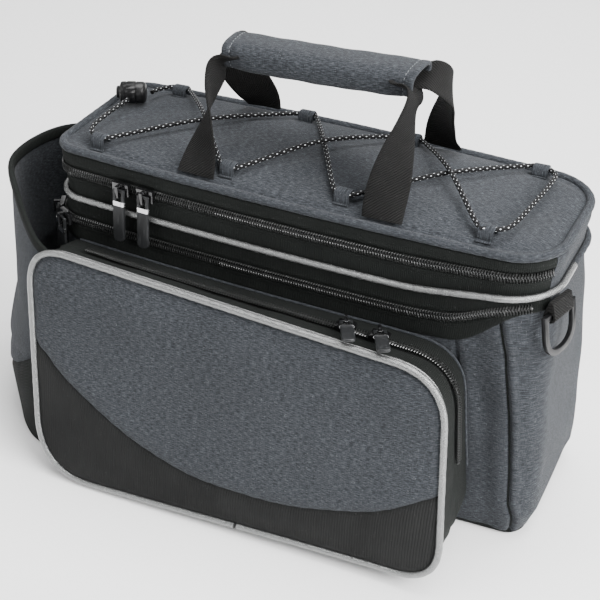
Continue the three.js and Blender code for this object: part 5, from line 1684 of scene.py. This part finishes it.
def heather(name, dark, middle, light):
    """Mottled two-tone cloth: flecks of light and dark thread over a middle grey, tone and lint over
    all."""
    material, m, shader = finish(name, 0.86, 0.15, Sheen_Weight=0.06, Sheen_Roughness=0.4)
    place, cloth = object_place(m), cloth_map(m)
    fleck = use(m, flecks, Place=cloth)
    weave = use(m, threads, Place=cloth, Pitch=0.0011)
    used = use(m, tone, Place=place, Lint=0.35)
    colour = m.blend(fleck["Dark threads"], middle, dark)
    colour = m.blend(fleck["Light threads"], colour, light)
    shade = m.span(used["Tone"], 0.0, 1.0, 0.86, 1.1)
    colour = m.blend(1.0, colour, m.gather(shade, shade, shade), "MULTIPLY")
    colour = m.blend(used["Lint"], colour, (0.2, 0.21, 0.22, 1))
    m.put(shader.inputs["Base Color"], colour)
    m.put(shader.inputs["Roughness"], m.span(fleck["Light threads"], 0.0, 1.0, 0.9, 0.76))
    height = m.math("MULTIPLY_ADD", used["Creases"], 1.4, m.math("MULTIPLY", weave["Height"], 0.5))
    height = m.math("MULTIPLY_ADD", fleck["Light threads"], 0.35, height)
    relief(m, shader, height, 0.00038)
    return material


heather_cloth = heather("heather grey cloth", (0.012, 0.0132, 0.0155, 1), (0.0275, 0.0303, 0.0348, 1),
                        (0.06, 0.066, 0.075, 1))
print("finish:", heather_cloth.name)


# %% [markdown]
# The black cloths differ only in their ribs' pitch and slant, their relief and two colours, so one maker
# builds them all. The two colours are painted shade for the grooves and a lit colour for the ridges.

# %% Black cloths
def ribbed_black(name, deep, lit, pitch, slant=0.0, bump=0.00045):
    """Black cloth with ribs: a lit colour on the ridges and painted shade in the grooves, height from the
    ribs and cross threads, and worn tone.
    """
    material, m, shader = finish(name, 0.8, 0.1, Sheen_Weight=0.01, Sheen_Roughness=0.45)
    place, cloth = object_place(m), cloth_map(m)
    rib = use(m, ribs_effect, Place=cloth, Pitch=pitch, Slant=slant)
    weave = use(m, threads, Place=cloth, Pitch=0.0012)
    used = use(m, tone, Place=place, Lint=0.3)
    # Painted shade: the groove mask darkens the lit colour towards deep between the ribs.
    colour = m.blend(rib["Groove"], lit, deep)
    shade = m.span(used["Tone"], 0.0, 1.0, 0.75, 1.2)
    colour = m.blend(1.0, colour, m.gather(shade, shade, shade), "MULTIPLY")
    colour = m.blend(used["Lint"], colour, (0.09, 0.09, 0.09, 1))
    m.put(shader.inputs["Base Color"], colour)
    m.put(shader.inputs["Roughness"], m.span(used["Tone"], 0.0, 1.0, 0.86, 0.72))
    height = m.math("MULTIPLY_ADD", rib["Height"], 0.8, m.math("MULTIPLY", weave["Height"], 0.35))
    height = m.math("MULTIPLY_ADD", used["Creases"], 0.9, height)
    relief(m, shader, height, bump)
    return material


# For each cloth the first colour is painted shade in the rib grooves, the second the lit ridges.
black_ribbed = ribbed_black("black ribbed cloth", (0.003, 0.0032, 0.0032, 1), (0.013, 0.0134, 0.0132, 1),
                            0.0019)
black_plain = ribbed_black("black band cloth", (0.003, 0.0036, 0.0033, 1), (0.0085, 0.0098, 0.009, 1),
                           0.0013)
webbing_finish = ribbed_black("black webbing", (0.001, 0.001, 0.001, 1), (0.0105, 0.0103, 0.0101, 1),
                              0.0022, slant=0.9, bump=0.0009)
print("black cloths:", black_ribbed.name, black_plain.name, webbing_finish.name)

# %% [markdown]
# Reflective piping looks like dull silver in even light, so it is a partly metallic grey with a coat, not
# a mirror.

# %% The silver piping
silver, m, shader = finish("reflective piping", 0.24, 0.6, Coat_Weight=0.5, Coat_Roughness=0.12)
place, cloth = object_place(m), cloth_map(m)
weave = use(m, threads, Place=cloth, Pitch=0.0007)
used = use(m, tone, Place=place, Lint=0.2)
beads = m.noise(place, 3000.0, 1.0, 0.5)
colour = m.blend(m.span(beads, 0.35, 0.7), (0.15, 0.153, 0.153, 1), (0.27, 0.274, 0.272, 1))
colour = m.blend(m.span(used["Tone"], 0.0, 1.0, 0.25, 0.0), colour, (0.12, 0.123, 0.123, 1))
m.put(shader.inputs["Base Color"], colour)
m.put(shader.inputs["Metallic"], m.span(beads, 0.4, 0.6, 0.65, 0.9))
m.put(shader.inputs["Roughness"], m.span(used["Tone"], 0.0, 1.0, 0.27, 0.17))
relief(m, shader, m.math("MULTIPLY_ADD", beads, 0.5, weave["Height"]), 0.00012)
print("finish:", silver.name)

# %% [markdown]
# The coil is black plastic, glossier than the cloth around it.

# %% The zip's plastic
coil_plastic, m, shader = finish("zip coil plastic", 0.3, 0.5, Coat_Weight=0.3, Coat_Roughness=0.15)
place = object_place(m)
moulded = use(m, grain, Place=place, Scale=1800.0)
colour = m.blend(moulded["Scuffs"], (0.014, 0.0145, 0.014, 1), (0.055, 0.056, 0.055, 1))
m.put(shader.inputs["Base Color"], colour)
m.put(shader.inputs["Roughness"], m.span(moulded["Scuffs"], 0.0, 1.0, 0.28, 0.5))
relief(m, shader, moulded["Height"], 0.00004)
print("finish:", coil_plastic.name)

# %% [markdown]
# An elastic cord is braided from dark strands with a few light ones. Two waves cross round the cord, and
# light lozenges are left where both are high.

# %% The flecked elastic braid
braid, m, shader = finish("flecked elastic braid", 0.66, 0.2, Sheen_Weight=0.02, Sheen_Roughness=0.4)
cloth = cloth_map(m)
u, v, _ = m.split(cloth)
STRANDS_ROUND, STRAND_PITCH = 3, 0.0052
round_share = m.math("MULTIPLY", v, STRANDS_ROUND / (CORD_RADIUS * 0.001))
run_share = m.math("MULTIPLY", u, 2 * math.pi / STRAND_PITCH)
one_way = m.math("SINE", m.math("ADD", run_share, round_share))
other_way = m.math("SINE", m.math("SUBTRACT", run_share, round_share))
strand = m.math("MULTIPLY", one_way, other_way)
one_top, other_top = m.math("MAXIMUM", one_way, -0.2), m.math("MAXIMUM", other_way, -0.2)
white_mask = m.span(m.math("MULTIPLY", one_top, other_top), 0.5, 0.66)
fuzz = m.noise(object_place(m), 1500.0, 2.0, 0.6)
black_tone = m.blend(m.span(fuzz, 0.4, 0.7), (0.0015, 0.0015, 0.0017, 1), (0.008, 0.008, 0.009, 1))
white_tone = m.blend(m.span(fuzz, 0.3, 0.7), (0.4, 0.415, 0.43, 1), (0.66, 0.68, 0.7, 1))
m.put(shader.inputs["Base Color"], m.blend(white_mask, black_tone, white_tone))
relief(m, shader, m.math("MULTIPLY_ADD", strand, 0.5, m.math("MULTIPLY", fuzz, 0.3)), 0.0005)
print("finish:", braid.name)

# %% [markdown]
# Thread is a few tenths of a millimetre thick, so fine noise between two greys is enough.

# %% The sewing thread
thread, m, shader = finish("grey sewing thread", 0.6, 0.3, Sheen_Weight=0.1, Sheen_Roughness=0.4)
twist_marks = m.noise(object_place(m), 2600.0, 1.0, 0.5)
colour = m.blend(m.span(twist_marks, 0.3, 0.7), (0.08, 0.086, 0.094, 1), (0.17, 0.18, 0.19, 1))
m.put(shader.inputs["Base Color"], colour)
relief(m, shader, twist_marks, 0.0001)
print("finish:", thread.name)


# %% [markdown]
# The ring and the cord lock are moulded plastic, the zips' sliders are enamelled, the clips are nickel
# and the pull tabs are rubber. All four are one recipe with other colours, roughness and grain.

# %% Hard finishes
def moulded_finish(name, deep, worn, roughness, scale, bump, **fixed):
    """Moulded plastic, rubber or enamel: fine grain in the relief, scuffs in the colour and roughness."""
    material, m, shader = finish(name, roughness, 0.28, **fixed)
    made = use(m, grain, Place=object_place(m), Scale=scale)
    m.put(shader.inputs["Base Color"], m.blend(made["Scuffs"], deep, worn))
    m.put(shader.inputs["Roughness"], m.span(made["Scuffs"], 0.0, 1.0, roughness, min(1.0, roughness + 0.2)))
    relief(m, shader, made["Height"], bump)
    return material


black_plastic = moulded_finish("black moulded plastic", (0.006, 0.006, 0.0065, 1), (0.016, 0.016, 0.017, 1),
                               roughness=0.32, scale=2600.0, bump=0.00003)
enamel = moulded_finish("black enamelled metal", (0.015, 0.015, 0.016, 1), (0.07, 0.07, 0.075, 1),
                        roughness=0.14, scale=900.0, bump=0.00002, Metallic=0.7, Coat_Weight=1.0,
                        Coat_Roughness=0.05)
bright_metal = moulded_finish("bright nickel", (0.62, 0.62, 0.63, 1), (0.4, 0.4, 0.41, 1),
                              roughness=0.16, scale=1200.0, bump=0.00002, Metallic=1.0)
rubber = moulded_finish("dark rubber", (0.014, 0.0147, 0.0155, 1), (0.035, 0.0364, 0.038, 1),
                        roughness=0.34, scale=3200.0, bump=0.00006)
print("hard finishes:", black_plastic.name, enamel.name, rubber.name)

# %% [markdown]
# The finishes are handed out by name from one table, or by the beginning of a name. What is left is
# printed.

# %% Dressing every piece
DRESS = {
    "body_wall": heather_cloth, "lid_band_grey": heather_cloth, "lid_padding": heather_cloth,
    "lid_rolled_edge": heather_cloth, "handle_padding": heather_cloth, "pocket_upper_cloth": heather_cloth,
    "pocket_back_edge": heather_cloth, "bottle_pocket_wall": heather_cloth,
    "body_cloth_piping": heather_cloth, "corner_seam": black_plain, "base_board": black_plain,
    # The corner seam's black tube is painted shade along the seam's groove.
    "lid_band_black": black_plain, "expansion_band_cloth": black_plain, "pocket_side_cloth": black_plain,
    "bottle_pocket_foot": black_plain, "bottle_pocket_floor": black_plain,
    "bottle_pocket_edge": black_plain, "pocket_lower_cloth": black_ribbed,
    "lid_coil": coil_plastic, "expansion_coil": coil_plastic, "pocket_coil": coil_plastic,
    "body_silver_piping": silver, "pocket_silver_piping": silver, "pocket_inner_piping": silver,
    "lacing_cord": braid, "ring_loop": webbing_finish, "hanging_ring": black_plastic,
    "lock_barrel": black_plastic,
}
PREFIXES = (("clip_", bright_metal), ("lacing_loop", heather_cloth), ("webbing_", webbing_finish),
            ("tab_", rubber), ("runner_", enamel), ("wrap_stitches", thread))


def dress(obj, material):
    """One material in all of a piece's slots."""
    obj.data.materials.clear()
    obj.data.materials.append(material)


undressed = []
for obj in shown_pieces():
    material = DRESS.get(obj.name)
    for prefix, finish_of_kind in PREFIXES:
        if material is None and obj.name.startswith(prefix):
            material = finish_of_kind
    if material is None:
        undressed.append(obj.name)
        continue
    dress(obj, material)
print("undressed pieces:", undressed)

# %% [markdown]
# ## Floor and light
#
# The bag stands on a plain pale floor that goes up into a wall behind it. A large soft light from the upper
# right, a weaker one from the left and a bright sky of plain white give soft shadows and the bright right
# end that the photograph shows.

# %% The floor
sweep = np.linspace(0, math.pi / 2, 24)
back_y, bend = 2.2, 1.2
floor_bend = np.stack([back_y + bend * np.sin(sweep), bend * (1 - np.cos(sweep))], axis=-1)
floor_line = np.vstack([[(-4.0, 0.0)], floor_bend, [(back_y + bend, 5.0)]])
n = len(floor_line)
floor_points = np.concatenate([np.column_stack([np.full(n, x), floor_line]) for x in (-5.0, 5.0)])
floor_mesh = bpy.data.meshes.new("floor")
floor_mesh.from_pydata((floor_points + [0, 0, -0.0008]).tolist(), [],
                       [(k + n, k + n + 1, k + 1, k) for k in range(n - 1)])
floor_mesh.polygons.foreach_set("use_smooth", np.ones(n - 1, dtype=bool))
floor = bpy.data.objects.new("floor", floor_mesh)
bpy.context.scene.collection.objects.link(floor)
floor_finish, m, shader = finish("pale paper", 0.9, 0.2)
speck = m.noise(object_place(m), 400.0, 2.0, 0.5)
m.put(shader.inputs["Base Color"], m.blend(speck, (0.88, 0.88, 0.88, 1), (0.9, 0.9, 0.9, 1)))
dress(floor, floor_finish)


# %% [markdown]
# A large square lamp's size sets how soft the shadow's edge is, and its place which side of the folds
# shows.

# %% The lights
def soft_light(name, place, aim, size, power):
    """A square area light at a place, turned towards an aim."""
    data = bpy.data.lights.new(name, "AREA")
    data.shape = "SQUARE"
    data.size, data.energy = size, power
    obj = bpy.data.objects.new(name, data)
    bpy.context.scene.collection.objects.link(obj)
    away = unit(np.array(place, float) - np.array(aim, float))
    side = unit(np.cross([0, 0, 1], away))
    turn = np.eye(4)
    turn[:3, 0], turn[:3, 1], turn[:3, 2], turn[:3, 3] = side, np.cross(away, side), away, place
    obj.matrix_world = Matrix(turn.tolist())
    return obj


soft_light("key light", (1.5, -0.5, 1.3), (0, 0, 0.1), 1.3, 108)
soft_light("top light", (0.1, 0.4, 2.2), (0, 0, 0.1), 1.6, 80)
soft_light("fill light", (-1.6, -1.4, 1.2), (0, 0, 0.12), 1.4, 26)
world = bpy.data.worlds.new("studio")
world.use_nodes = True
world.node_tree.nodes["Background"].inputs["Color"].default_value = (1, 1, 1, 1)
world.node_tree.nodes["Background"].inputs["Strength"].default_value = 0.5
bpy.context.scene.world = world
